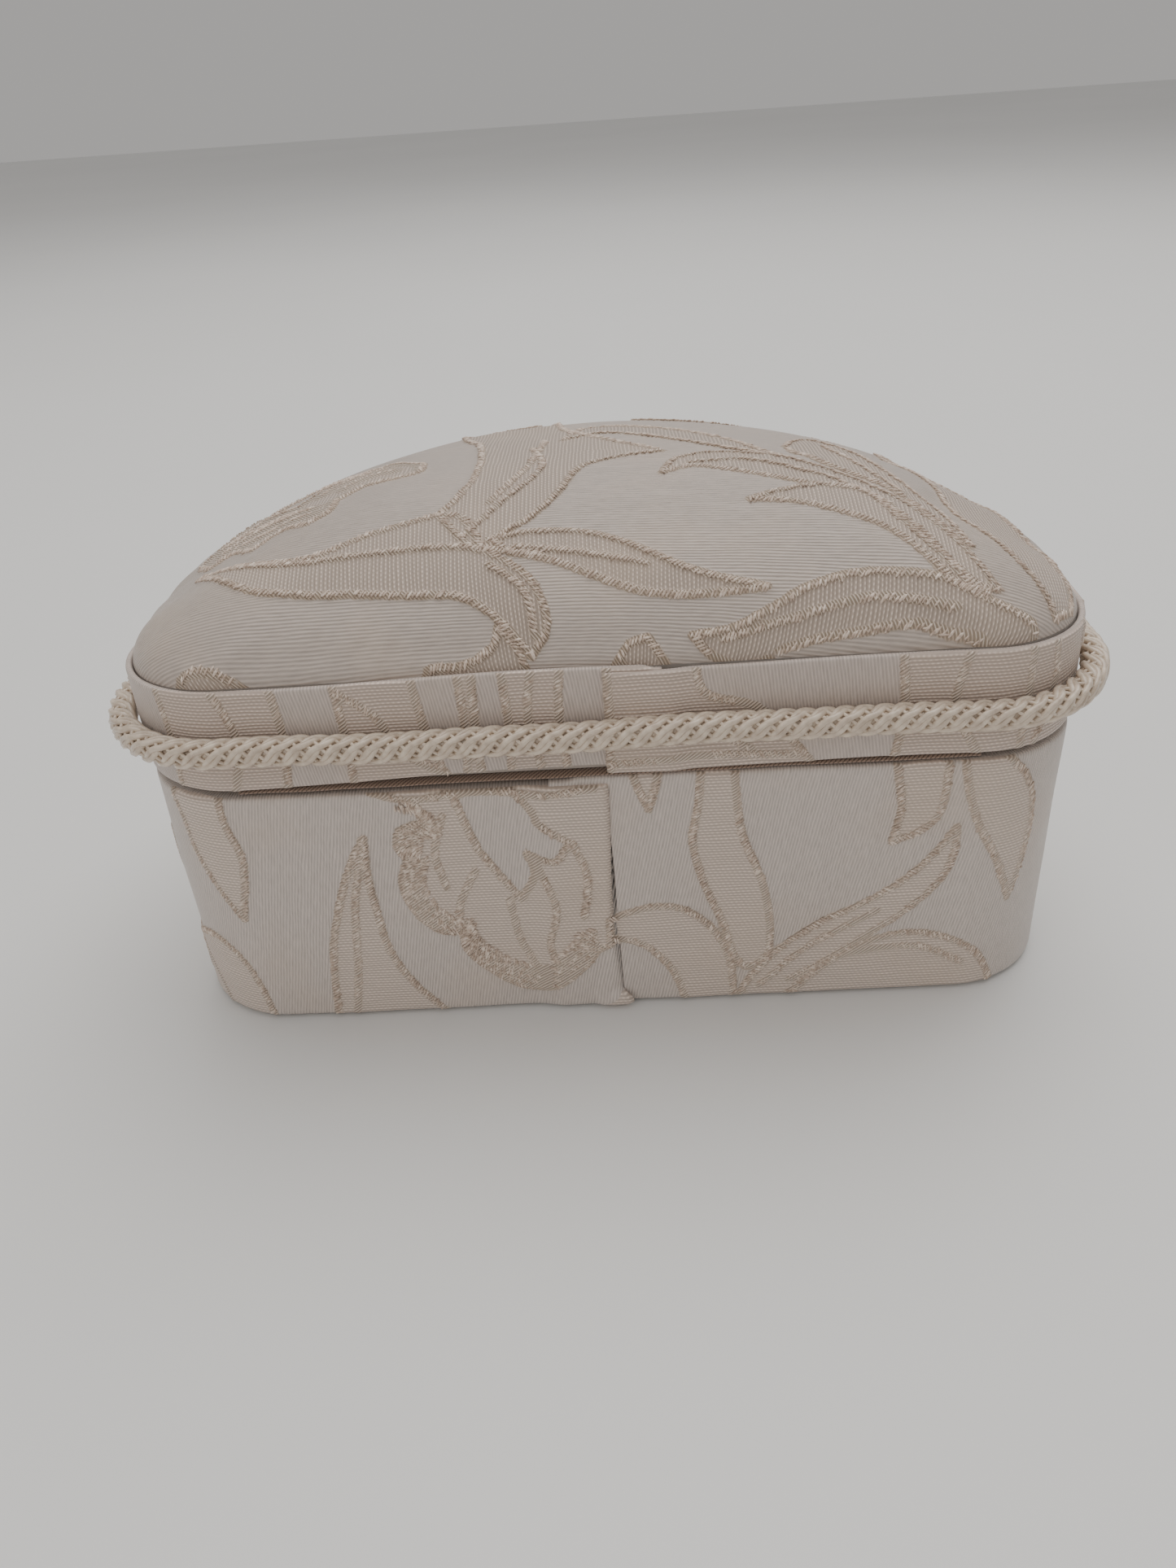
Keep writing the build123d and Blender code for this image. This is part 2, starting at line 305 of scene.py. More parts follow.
# The figure as it falls on the back, in mm along the wall from the middle and up from the table.
# Outlines that run off the cloth's edge are drawn past it.
back_leaves = [
    leaf(
        [(50, -8), (48, 13), (45.5, 23), (42.5, 31), (39, 37.5)],
        [(39.5, 30), (39, 22), (38, 14), (34.5, 6), (28, -2), (22, -8)],
    ),
    leaf([(72, 55), (69, 42), (68, 35), (65, 28), (61.5, 22)], [(59, 34), (60.5, 42), (60, 55)]),
    leaf([(80, 11), (74, 15), (68, 16), (63, 11), (60.5, 0), (60, -8)], [(80, -8)]),
    leaf(
        [(-15, 55), (-14, 41), (-13, 34), (-14.5, 26), (-17.5, 17.5), (-19.5, 10)],
        [(-22, 7), (-25.5, 10)], [(-25.5, 17), (-24, 25.5), (-21, 34), (-20, 41), (-19, 55)],
    ),
    leaf(
        [(1, 19), (-6, 21), (-11.5, 20), (-16.5, 15), (-19.2, 7.5), (-19.6, -8)], [(-13, -8)],
        [(-11.5, 0), (-9, 7.5), (-4.5, 13), (1, 15)],
    ),
    leaf(
        [(-20.2, -8), (-21, 2), (-24.5, 7.5), (-28, 11.5), (-34, 16), (-40.5, 19.5), (-47, 24),
         (-51.5, 29), (-54.5, 34)],
        [(-54.5, 28.5), (-52.5, 23), (-47.5, 17.5), (-41, 12.5), (-33, 6), (-28, -1), (-26, -8)],
    ),
    leaf(
        [(-27, -8), (-28.5, -1), (-33.5, 5.5), (-41, 11), (-48, 13), (-55, 11.5), (-60.5, 7.5),
         (-64, 0), (-65, -8)],
    ),
    leaf([(-43, 55), (-44.5, 45), (-45.5, 38), (-44.5, 31.5)], [(-49.5, 34), (-52, 39), (-52, 55)]),
    leaf(
        [(-54, 55), (-55, 44), (-57.5, 35), (-62, 26), (-65, 18)],
        [(-67, 26), (-67.5, 34), (-65.5, 41), (-60, 48), (-58, 55)],
    ),
    leaf([(-3.5, 55), (-4.2, 46), (-6.3, 40)], [(-7.8, 46), (-8.5, 55)]),
]
back_flower = leaf(
    [(41, 55), (38, 47), (34.5, 45), (30.5, 43.5), (29, 40)], [(33, 38.5), (33.8, 35), (32.5, 33)],
    [(34, 29), (33.7, 25), (32, 21)], [(29, 18), (25.5, 17.5)],
    [(25, 13.5), (22, 9.5), (17, 5.5), (13, 4.6)], [(10, 5.5), (5.5, 9.5), (3, 13)],
    [(0, 14.5), (-3, 18)], [(-3, 55)],
)
back_openings = [
    leaf(
        [(24, 45), (22.5, 39), (21, 34)], [(17.5, 28), (15, 24)], [(12.5, 29), (13.5, 33)],
        [(9, 31.5), (6.5, 35)], [(11, 38.5), (12, 41), (15, 45)],
    ),
]
vein_step = 0.4
back_veins = [curve(points, vein_step) for points in (
    [(46, 0), (44, 12), (42.5, 24), (40, 34)], [(17, 24), (16, 16), (13.5, 9)],
    [(22, 30), (25, 24), (26, 18)], [(12, 31), (9.5, 22), (11, 14), (9, 8)],
    [(26, 41), (28, 34), (27, 27)], [(6, 35), (4, 28), (5, 20)],
    [(31, 44), (20, 45), (10, 44), (2, 45)], [(-29, 4), (-38, 9), (-50, 10), (-58, 6)],
    [(-24, 3), (-32, 11), (-43, 18)],
)]

# The flower's outer edge is brocaded thickly, in rows of floats inside one another, as far as the
# seam on one side and the wall's top edge on the other.
flower_middle = np.array([17.0, 30.0])
rough_from_seam = 3.0
rough_top = 43.0
rough_edges = [
    flower_middle + (back_flower - flower_middle) * size for size in (0.95, 0.90, 0.85, 0.80)
]
rough_edges = [
    edge[(edge[:, 0] > rough_from_seam) & (edge[:, 1] < rough_top)] for edge in rough_edges
]


def shifted(outlines, move):
    """The same outlines further along the cloth."""
    return [outline + np.array([move, 0.0]) for outline in outlines]


# The same figure comes round again at the front, and part of it fills each side.
repeat = half_girth
wall_leaves = back_leaves + [back_flower]
wall_openings = list(back_openings)
wall_veins = list(back_veins)
side_share = back_leaves[3:7]
for move, some_leaves, some_openings, some_veins in (
    (repeat, back_leaves + [back_flower], back_openings, back_veins),
    (-repeat, back_leaves + [back_flower], back_openings, back_veins),
    (134.0, side_share, (), back_veins[7:]),
    (-92.0, side_share[:2], (), ()),
):
    wall_leaves += shifted(some_leaves, move)
    wall_openings += shifted(some_openings, move)
    wall_veins += shifted(some_veins, move)

cloth_thickness = 0.6
lap = 9.0               # how far one end lies over the other
lap_stand = 0.7         # how far it stands off there
under_floor = 8.5
over_edge = 3.4
weave_step = 0.6
floor_face = 0.55       # the underside of the floor board, which the cloth is glued to
fold_slope = 5.0        # how gradually the upper end climbs onto the lower one
fold_nip = 0.7          # the folded edge is rounded this far back


def ease(value, low, high):
    """0 below low, 1 above high, and a smooth change between."""
    share = np.clip((np.asarray(value, float) - low) / (high - low), 0, 1)
    return share * share * (3 - 2 * share)


def rounded_run(corners, spacing):
    """Points along straight runs between corners, (out, height) pairs, spaced about as asked."""
    run = []
    for start, stop in zip(corners[:-1], corners[1:]):
        count = max(1, int(round(math.dist(start, stop) / spacing)))
        run += [tuple(np.add(start, np.subtract(stop, start) * k / count)) for k in range(count)]
    return run + [corners[-1]]


def puckers(along, up, size, seed):
    """A gentle unevenness, -1 to 1, in hand-worked cloth: a few waves of about this size."""
    waves = np.random.default_rng(seed)
    total = np.zeros(np.broadcast(along, up).shape)
    for _ in range(7):
        direction = waves.uniform(0, 2 * math.pi)
        length = size * waves.uniform(0.6, 1.7)
        phase = waves.uniform(0, 2 * math.pi)
        across = along * math.cos(direction) + up * math.sin(direction)
        total += np.sin(across * 2 * math.pi / length + phase)
    return total / 7 * 1.6


def relief(inside, line):
    """How far the figure stands out of the ground, in mm: the rib a little, its cords more."""
    return 0.10 * ease(inside, -0.4, 0.4) + 0.22 * (1 - ease(line, 0.2, 0.95))


outer_side = rounded_run([(-under_floor, floor_face), (-0.75, floor_face)], 1.2)[:-1]
outer_side += [(-0.75, floor_face), (-0.3, 0.68), (-0.06, 1.0)]
outer_side += rounded_run([(0.0, 1.5), (0.0, base_top - 0.8)], weave_step)
outer_side += [(-0.08, base_top - 0.35), (-0.35, base_top - 0.08)]
outer_side += rounded_run([(-0.8, base_top), (-over_edge, base_top)], 0.9)
inner_side = [
    (-over_edge, base_top - cloth_thickness),
    (-0.7, base_top - cloth_thickness),
    (-0.65, base_top * 0.66),
    (-0.65, base_top * 0.33),
    (-0.7, floor_face + cloth_thickness),
    (-under_floor, floor_face + cloth_thickness),
]
section = np.array(outer_side + inner_side)
strip_run = np.arange(0, 2 * half_girth + lap, weave_step)
strip_end = strip_run[-1]
from_start = strip_run[None, :]
to_end = (strip_end - strip_run)[None, :]
along = lap - from_start
height = section[:, 1][:, None] + np.zeros_like(along)
out = section[:, 0][:, None] + np.zeros_like(along)

# The upper end climbs onto the lower one. At the seam its top edge sits a little low, and the
# lower end's corner, cut a little high, shows above it as a tab.
upper_low, corner_high, foot_high = 0.6, 0.5, 0.12
out = out + lap_stand * (1 - ease(to_end, lap, lap + fold_slope))
upper_part = ease(height, base_top * 0.5, base_top)
height = height - upper_low * (1 - ease(to_end, 10, 75)) * upper_part
corner_part = (1 - ease(from_start, lap, 60)) * ease(from_start, 3.0, 4.6)
height = height + corner_high * corner_part * upper_part
height = height + foot_high * (1 - ease(from_start, 0, lap)) * (1 - ease(height, 0, 2))
seam_lean = 0.35 * np.sin(height / base_top * 5.0) - 1.0 * (1 - ease(height, 0, base_top * 0.5))
along = along + seam_lean * (1 - ease(to_end, 0, 7))


def on_the_cloth(along, height):
    """A strip's points on the flat, (along, up), with along counted from the middle of the back."""
    places = np.stack((along + 0 * height, height + 0 * along), -1).reshape(-1, 2)
    places[:, 0] = (places[:, 0] + half_girth) % (2 * half_girth) - half_girth
    return places


places = on_the_cloth(along, height)
inside, line = weave_figure(places, wall_leaves, wall_openings, wall_veins)
# The flower belongs to the upper end, so the lower end is woven without it.
lower_end = np.broadcast_to(from_start < 20, height.shape).ravel()
inside[lower_end], line[lower_end] = weave_figure(places[lower_end], back_leaves)
flower_heart = flower_middle + (back_flower - flower_middle) * 0.8
in_rough, _ = weave_figure(places, [back_flower], [flower_heart] + back_openings)
rough = ~lower_end & (in_rough > 0) & (places[:, 0] > rough_from_seam) & (places[:, 1] < rough_top)
line[rough] = np.minimum(line[rough], 0.35 + 0.25 * np.sin(places[rough].sum(1) * 3.1))
inside = inside.reshape(height.shape)
line = line.reshape(height.shape)
is_outer = (np.arange(len(section)) < len(outer_side))[:, None]
on_wall = is_outer & (section[:, 0] > -1.0)[:, None]
out = out + on_wall * (relief(inside, line) + 0.12 * puckers(along, height, 22.0, 3))
out = out - on_wall * 0.5 * (1 - ease(to_end, 0, fold_nip))
# The upper end's lowest corner is folded under double and stands out as a small tab.
tab_stand, tab_reach, tab_width = 1.0, 1.7, 4.6
in_tab = on_wall * (1 - ease(height, 1.8, 4.0)) * ease(height, 0.3, 1.2)
out = out + tab_stand * in_tab * (1 - ease(to_end, 2.5, 5.0))
along = along - tab_reach * in_tab * (1 - ease(to_end, 0.0, 4.0))
inside = np.where((in_tab > 0) & (to_end < tab_width - 1.2 * height), 2.0, inside)


def woven_strip(name, along, out, height, foot, inside, line, on_face, material):
    """A strip round the case from its lattice: rows round its thickness, columns along it."""
    x, y, _, _ = plan(along, out)
    rows, columns = height.shape
    faces = quads(rows, columns, closed_rows=True)
    faces += [[row * columns + end for row in range(rows)] for end in (0, columns - 1)]
    piece = make_piece(name, np.stack((x, y, height + foot), -1), faces, material)
    give_uv(piece, along + 0 * height, height + 0 * along)
    give_value(piece, "inside", np.where(on_face, inside, -FAR))
    give_value(piece, "line", np.where(on_face, line, FAR))
    return piece


# ---- The brocade itself, as a finish ----


def brocade_weave():
    """Figured satin as a node group: satin ground, rib figure and corded lines, in the cloth's mm."""
    group = bpy.data.node_groups.new("brocade_weave", "ShaderNodeTree")
    face = group.interface
    face.new_socket("Cloth", in_out="INPUT", socket_type="NodeSocketVector")
    for name, value in (("Inside", -5.0), ("Line", 5.0), ("Thread", 0.5), ("Slant", 0.2)):
        face.new_socket(name, in_out="INPUT", socket_type="NodeSocketFloat").default_value = value
    for name, colour in (
        ("Ground", (0.66, 0.58, 0.525, 1)),
        ("Rib", (0.80, 0.665, 0.57, 1)),
        ("Cord", (0.60, 0.485, 0.39, 1)),
    ):
        face.new_socket(name, in_out="INPUT", socket_type="NodeSocketColor").default_value = colour
    face.new_socket("Colour", in_out="OUTPUT", socket_type="NodeSocketColor")
    face.new_socket("Roughness", in_out="OUTPUT", socket_type="NodeSocketFloat")
    face.new_socket("Height", in_out="OUTPUT", socket_type="NodeSocketFloat")
    given = put(group, "NodeGroupInput").outputs
    cloth = given["Cloth"]
    split = put(group, "ShaderNodeSeparateXYZ", {0: cloth})
    u, v = split.outputs["X"], split.outputs["Y"]

    def noise(scale, detail=2.0):
        stretched = put(group, "ShaderNodeVectorMath", {0: cloth, 1: scale}, operation="MULTIPLY").outputs[0]
        node = put(group, "ShaderNodeTexNoise", {"Vector": stretched, "Scale": 1.0, "Detail": detail})
        return node.outputs["Fac"]

    def masked(value, low, high):
        node = put(
            group, "ShaderNodeMapRange", {"Value": value, "From Min": low, "From Max": high},
            interpolation_type="SMOOTHSTEP",
        )
        return node.outputs["Result"]

    def ribs(value, spacing):
        turns = maths(group, "DIVIDE", value, spacing)
        wave = maths(group, "SINE", maths(group, "MULTIPLY", turns, 2 * math.pi))
        return maths(group, "MULTIPLY_ADD", wave, 0.5, 0.5)

    ragged = maths(group, "MULTIPLY_ADD", noise((1.1, 1.3, 1.0), 3.0), 1.0, -0.5)
    is_rib = masked(maths(group, "ADD", given["Inside"], ragged), -0.15, 0.15)
    cord_gap = maths(group, "ADD", given["Line"], maths(group, "MULTIPLY", ragged, 0.7))
    is_cord = maths(group, "SUBTRACT", 1.0, masked(cord_gap, 0.5, 0.85))

    slanted = maths(group, "ADD", u, maths(group, "MULTIPLY", v, given["Slant"]))
    waver = maths(group, "MULTIPLY", noise((0.25, 0.05, 1.0)), 0.8)
    float_lines = ribs(maths(group, "ADD", slanted, waver), given["Thread"])
    streaks = noise((2.6, 0.45, 1.0), 2.0)
    satin = maths(group, "MULTIPLY_ADD", float_lines, 0.48, maths(group, "MULTIPLY", streaks, 0.56))

    row_size = maths(group, "MULTIPLY", given["Thread"], 1.12)
    row_waver = maths(group, "MULTIPLY", noise((0.08, 0.25, 1.0)), 0.8)
    row = maths(group, "ADD", v, row_waver)
    rib_lines = ribs(row, row_size)
    row_number = maths(group, "FLOOR", maths(group, "DIVIDE", row, row_size))
    stagger = maths(group, "MULTIPLY_ADD", row_number, 0.47, u)
    beads = ribs(stagger, 0.78)
    rib = maths(group, "MULTIPLY", rib_lines, maths(group, "MULTIPLY_ADD", beads, 0.5, 0.5))

    diagonal = maths(group, "ADD", maths(group, "MULTIPLY", u, 0.8), maths(group, "MULTIPLY", v, 1.1))
    twist = ribs(diagonal, 0.62)

    def blend_of(first, second, share):
        node = put(group, "ShaderNodeMix", {"Factor": share, "A": first, "B": second}, data_type="FLOAT")
        return node.outputs["Result"]

    height = blend_of(blend_of(satin, rib, is_rib), twist, is_cord)

    def colour_mix(first, second, share, how="MIX"):
        node = put(group, "ShaderNodeMix", data_type="RGBA", blend_type=how)
        for socket, value in ((0, share), (6, first), (7, second)):
            if isinstance(value, bpy.types.NodeSocket):
                group.links.new(value, node.inputs[socket])
            else:
                node.inputs[socket].default_value = value
        return node.outputs[2]

    colour = colour_mix(given["Ground"], given["Rib"], is_rib)
    colour = colour_mix(colour, given["Cord"], is_cord)
    # Painted shade and light at thread scale: the colour is darkened in the valleys between threads and
    # lightened a little on their tops, following the same height that drives the bump.
    shade = maths(group, "MULTIPLY_ADD", height, 0.56, 0.60)
    grey = put(group, "ShaderNodeCombineColor", {0: shade, 1: shade, 2: shade}).outputs[0]
    colour = colour_mix(colour, grey, 1.0, "MULTIPLY")
    aged = masked(noise((0.045, 0.045, 1.0), 3.0), 0.46, 0.72)
    colour = colour_mix(colour, (0.60, 0.47, 0.36, 1), maths(group, "MULTIPLY", aged, 0.22))
    # Painted highlight: the highest rib threads are mixed towards a pale cream, and are also made a little
    # smoother.
    glint = maths(group, "MULTIPLY", maths(group, "POWER", height, 6.0), is_rib)
    colour = colour_mix(colour, (0.95, 0.88, 0.80, 1), maths(group, "MULTIPLY", glint, 0.45))
    roughness = blend_of(blend_of(0.40, 0.52, is_rib), 0.62, is_cord)
    roughness = maths(group, "SUBTRACT", roughness, maths(group, "MULTIPLY", glint, 0.24))
    put(group, "NodeGroupOutput", {"Colour": colour, "Roughness": roughness, "Height": height})
    return group


weave_group = brocade_weave()


def brocade(name, thread=0.5, slant=0.2, **colours):
    """Brocade cut with its threads lying this way."""
    material, tree, surface = finish_material(name)
    weave = put(tree, "ShaderNodeGroup", node_tree=weave_group)
    tree.links.new(put(tree, "ShaderNodeUVMap", uv_map="cloth").outputs["UV"], weave.inputs["Cloth"])
    for attribute, socket in (("inside", "Inside"), ("line", "Line")):
        value = put(tree, "ShaderNodeAttribute", attribute_name=attribute)
        tree.links.new(value.outputs["Fac"], weave.inputs[socket])
    weave.inputs["Thread"].default_value = thread
    weave.inputs["Slant"].default_value = slant
    for socket, colour in colours.items():
        weave.inputs[socket].default_value = (*colour, 1)
    bump = put(
        tree, "ShaderNodeBump",
        {"Height": weave.outputs["Height"], "Strength": 0.8, "Distance": 0.00022},
    )
    tree.links.new(weave.outputs["Colour"], surface.inputs["Base Color"])
    tree.links.new(weave.outputs["Roughness"], surface.inputs["Roughness"])
    tree.links.new(bump.outputs["Normal"], surface.inputs["Normal"])
    surface.inputs["Sheen Weight"].default_value = 0.25
    surface.inputs["Sheen Roughness"].default_value = 0.4
    return material


wall_brocade = brocade("wall_brocade")
wall_cloth = woven_strip("wall_cloth", along, out, height, 0.0, inside, line, on_wall, wall_brocade)
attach(wall_cloth, "base")
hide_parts("base_wall_cloth")

# ---- Its corded outlines ----
# The outlines are short floats of thicker thread that cross the edge of each leaf at a slant.


def float_points(outlines, keep, seed, pitch=0.62):
    """Places and slanted directions along outlines, in the cloth's mm, a thread pitch apart."""
    longest_step = 2.0
    places = []
    slants = []
    for outline in outlines:
        steps = np.linalg.norm(np.diff(outline, axis=0), axis=1)
        run = np.concatenate(([0], np.cumsum(steps)))

        def place_at(distance, run=run, outline=outline):
            return np.stack([np.interp(distance, run, outline[:, axis]) for axis in (0, 1)], 1)

        at = np.arange(0, run[-1], pitch)
        step_at = np.searchsorted(run, at, side="right").clip(1, len(steps)) - 1
        at = at[steps[step_at] < longest_step]
        place = place_at(at)
        forward = place_at(at + 0.6) - place
        forward /= np.maximum(np.linalg.norm(forward, axis=1), 1e-6)[:, None]
        across = np.stack((-forward[:, 1], forward[:, 0]), 1)
        places.append(place)
        slants.append(across * 0.86 + forward * 0.5)
    places = np.vstack(places)
    slants = np.vstack(slants)
    chance = np.random.default_rng(seed)
    places = places + chance.normal(0, 0.09, places.shape)
    chosen = keep(places) & (chance.random(len(places)) > 0.06)
    return places[chosen], slants[chosen]


def lay_floats(name, places, directions, normals, material, seed, length=1.5, width=0.42):
    """One short thread, lying along its direction, at each place in mm: Geometry Nodes does it."""
    dots = bpy.data.meshes.new(name + "_places")
    dots.from_pydata((places * 0.001).tolist(), [], [])
    for key, values in (("lie", directions), ("out", normals)):
        layer = dots.attributes.new(key, "FLOAT_VECTOR", "POINT")
        layer.data.foreach_set("vector", values.astype(np.float32).ravel())
    holder = bpy.data.objects.new(name + "_places", dots)
    bpy.context.scene.collection.objects.link(holder)
    tree = bpy.data.node_groups.new(name + "_floats", "GeometryNodeTree")
    face = tree.interface
    face.new_socket("Geometry", in_out="INPUT", socket_type="NodeSocketGeometry")
    wanted = {"Float length": length * 0.001, "Float width": width * 0.001, "Seed": seed}
    for label, value in wanted.items():
        kind = "NodeSocketInt" if label == "Seed" else "NodeSocketFloat"
        face.new_socket(label, in_out="INPUT", socket_type=kind)
    face.new_socket("Geometry", in_out="OUTPUT", socket_type="NodeSocketGeometry")
    given = put(tree, "NodeGroupInput").outputs
    thread = put(tree, "GeometryNodeMeshUVSphere", {"Segments": 5, "Rings": 4, "Radius": 1.0})
    lie, out = (
        put(tree, "GeometryNodeInputNamedAttribute", {"Name": key}, data_type="FLOAT_VECTOR").outputs[0]
        for key in ("lie", "out")
    )
    turned = put(
        tree, "FunctionNodeAxesToRotation", {0: lie, 1: out}, primary_axis="Z", secondary_axis="X",
    )
    chance = put(
        tree, "FunctionNodeRandomValue", {"Min": 0.8, "Max": 1.2, "Seed": given["Seed"]},
        data_type="FLOAT",
    )
    half_size = maths(tree, "MULTIPLY", chance.outputs[1], 0.5)
    reach = maths(tree, "MULTIPLY", given["Float length"], half_size)
    thick = maths(tree, "MULTIPLY", given["Float width"], half_size)
    scale = put(tree, "ShaderNodeCombineXYZ", {0: thick, 1: thick, 2: reach})
    laid = put(tree, "GeometryNodeInstanceOnPoints", {
        "Points": given["Geometry"], "Instance": thread.outputs["Mesh"],
        "Rotation": turned.outputs[0], "Scale": scale.outputs[0],
    })
    real = put(tree, "GeometryNodeRealizeInstances", {0: laid.outputs[0]})
    smooth = put(tree, "GeometryNodeSetShadeSmooth", {0: real.outputs[0]})
    dressed = put(tree, "GeometryNodeSetMaterial", {0: smooth.outputs[0], "Material": material})
    put(tree, "NodeGroupOutput", {0: dressed.outputs[0]})
    return baked(holder, tree, name, wanted, material)


def baked(holder, tree, name, wanted, material):
    """Runs a geometry tree on a holder with these named inputs, and keeps the result as a plain piece."""
    modifier = holder.modifiers.new("work", "NODES")
    modifier.node_group = tree
    for item in tree.interface.items_tree:
        if item.in_out == "INPUT" and item.name in wanted:
            modifier[item.identifier] = wanted[item.name]
    bpy.context.view_layer.update()
    done = holder.evaluated_get(bpy.context.evaluated_depsgraph_get())
    mesh = bpy.data.meshes.new_from_object(done)
    mesh.name = name
    piece = bpy.data.objects.new(name, mesh)
    bpy.context.scene.collection.objects.link(piece)
    mesh.materials.clear()
    mesh.materials.append(material)
    bpy.data.objects.remove(holder)
    return piece


thread_steps = (0.32, (0.39, 0.29, 0.225)), (0.5, (0.61, 0.485, 0.395)), (0.7, (0.86, 0.74, 0.64))
outline_thread, _ = speckled("outline_thread", 1400, 2, thread_steps, 0.5, sheen=0.2)


def strip_floats(name, places, slants, stand, foot, seed):
    """Floats on a strip round the case, at (along, up) places, standing this far off it."""
    x, y, normal_x, normal_y = plan(places[:, 0], stand)
    points = np.stack((x, y, places[:, 1] + foot), 1)
    lie = np.stack((normal_y * slants[:, 0], -normal_x * slants[:, 0], slants[:, 1]), 1)
    out_way = np.stack((normal_x, normal_y, 0 * normal_x), 1)
    return lay_floats(name, points, lie, out_way, outline_thread, seed)


def on_the_wall(places, start, stop):
    """Which places are on this stretch of the wall and clear of its top and bottom edges."""
    clear = (places[:, 1] > 1.2) & (places[:, 1] < base_top - 0.9)
    return clear & (places[:, 0] >= start) & (places[:, 0] < stop)


def on_the_back_wall(places):
    """The same for the back, without the outlines that stop at the fold over the lower end."""
    at_the_fold = abs(places[:, 0] + 1.2) < 0.5
    return on_the_wall(places, -half_girth, front_end) & ~at_the_fold


def on_the_front_wall(places):
    """The same for the front, whose outlines run on where those of the back leave off."""
    return on_the_wall(places, front_start, front_end)


front_start, front_end = 75.0, 311.0
seam_flower = back_flower[back_flower[:, 0] > 0.4]
back_outlines = back_leaves + [seam_flower] + back_openings + back_veins + rough_edges
front_outlines = wall_leaves[11:] + wall_openings[1:] + wall_veins[9:]
places, slants = float_points(back_outlines, on_the_back_wall, 5)
on_lap = (places[:, 0] > -1.0) & (places[:, 0] < lap + 2)
floats_back = strip_floats("wall_floats_back", places, slants, 0.20 + on_lap * lap_stand, 0.0, 11)
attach(floats_back, "base")
places, slants = float_points(front_outlines, on_the_front_wall, 5)
floats_front = strip_floats("wall_floats_front", places, slants, 0.20, 0.0, 11)
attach(floats_front, "base")

# ==== Lid padding and top cloth ================================================================
# A crown of wadding on the lid's top board, with brocade pulled over it and glued down round the
# rim, behind the band. The cloth is pinned there and pressed out by the wadding.

_, lid_high = (np.array(corner) * 1000 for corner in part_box("lid_top_cloth"))
crown_y = 5.0
rim_z = 64.3
rim_inset = 1.25
oval_half_x, oval_half_y = 73.0, 47.0   # what the crown's contours turn into towards its middle
crown_rise = lid_high[2] - rim_z
rounds = np.linspace(0, 2 * half_girth, 4000, endpoint=False)
rim_x, rim_y, _, _ = plan(rounds - half_girth, -rim_inset)
rim_angle = np.arctan2(rim_y - crown_y, rim_x)
order = np.argsort(rim_angle)
rim_angle = rim_angle[order]
rim_reach = np.hypot(rim_x, rim_y - crown_y)[order]


def crown_shape(share, angle):
    """The padded crown: share is 0 at its middle and 1 at its rim. Points in mm."""
    edge = np.interp(angle, rim_angle, rim_reach, period=2 * math.pi)
    oval = 1 / np.sqrt((np.cos(angle) / oval_half_x) ** 2 + (np.sin(angle) / oval_half_y) ** 2)
    mellow = 0.6 * (1 - share)
    reach_out = share * ((1 - mellow) * edge + mellow * oval)
    z = rim_z + crown_rise * (1 - np.clip(share, 0, 1) ** 2.2) ** 0.62 + 0 * angle
    return np.stack((reach_out * np.cos(angle), crown_y + reach_out * np.sin(angle), z), -1)


def rim_shares(count):
    """Shares from the middle to the rim, closer together where the crown turns down."""
    turn = np.linspace(0, 1, count)
    return (1 - (1 - turn) ** 1.9) * 0.35 + turn * 0.65


coarse_rings, coarse_spokes = 30, 128
coarse_share = rim_shares(coarse_rings + 1)[1:]
coarse_angle = np.arange(coarse_spokes) * 2 * math.pi / coarse_spokes
coarse = crown_shape(coarse_share[:, None], coarse_angle[None, :])
settled = coarse.copy()
pole = coarse_rings * coarse_spokes
faces = quads(coarse_rings, coarse_spokes, closed_columns=True)
faces += [[(k + 1) % coarse_spokes, k, pole] for k in range(coarse_spokes)]
points = np.vstack((coarse.reshape(-1, 3), [[0, crown_y, lid_high[2]]]))
cloth = make_piece("crown_trial", points, faces, greyboard)
pins = cloth.vertex_groups.new(name="pins")
pins.add(list(range(pole - coarse_spokes, pole)), 1.0, "REPLACE")
simulated = cloth.modifiers.new("cloth", "CLOTH")
simulated.settings.vertex_group_mass = "pins"
simulated.settings.use_pressure = True
simulated.settings.uniform_pressure_force = 0.3
simulated.settings.quality = 6
simulated.settings.tension_stiffness = 40
simulated.settings.compression_stiffness = 20
simulated.settings.bending_stiffness = 2.0
simulated.settings.shrink_min = -0.012
simulated.settings.effector_weights.gravity = 0.0
simulated.collision_settings.use_collision = False
for frame_number in range(1, 19):
    bpy.context.scene.frame_set(frame_number)
bpy.context.view_layer.update()
done = cloth.evaluated_get(bpy.context.evaluated_depsgraph_get())
settled_flat = np.empty(len(done.data.vertices) * 3)
done.data.vertices.foreach_get("co", settled_flat)
settled = settled_flat.reshape(-1, 3)[:-1].reshape(coarse.shape) * 1000
bpy.data.objects.remove(cloth)
moved = settled - coarse
size_moved = np.linalg.norm(moved, axis=-1, keepdims=True)
most_moved = 0.5
moved = moved * np.minimum(1, most_moved / np.maximum(size_moved, 1e-6))


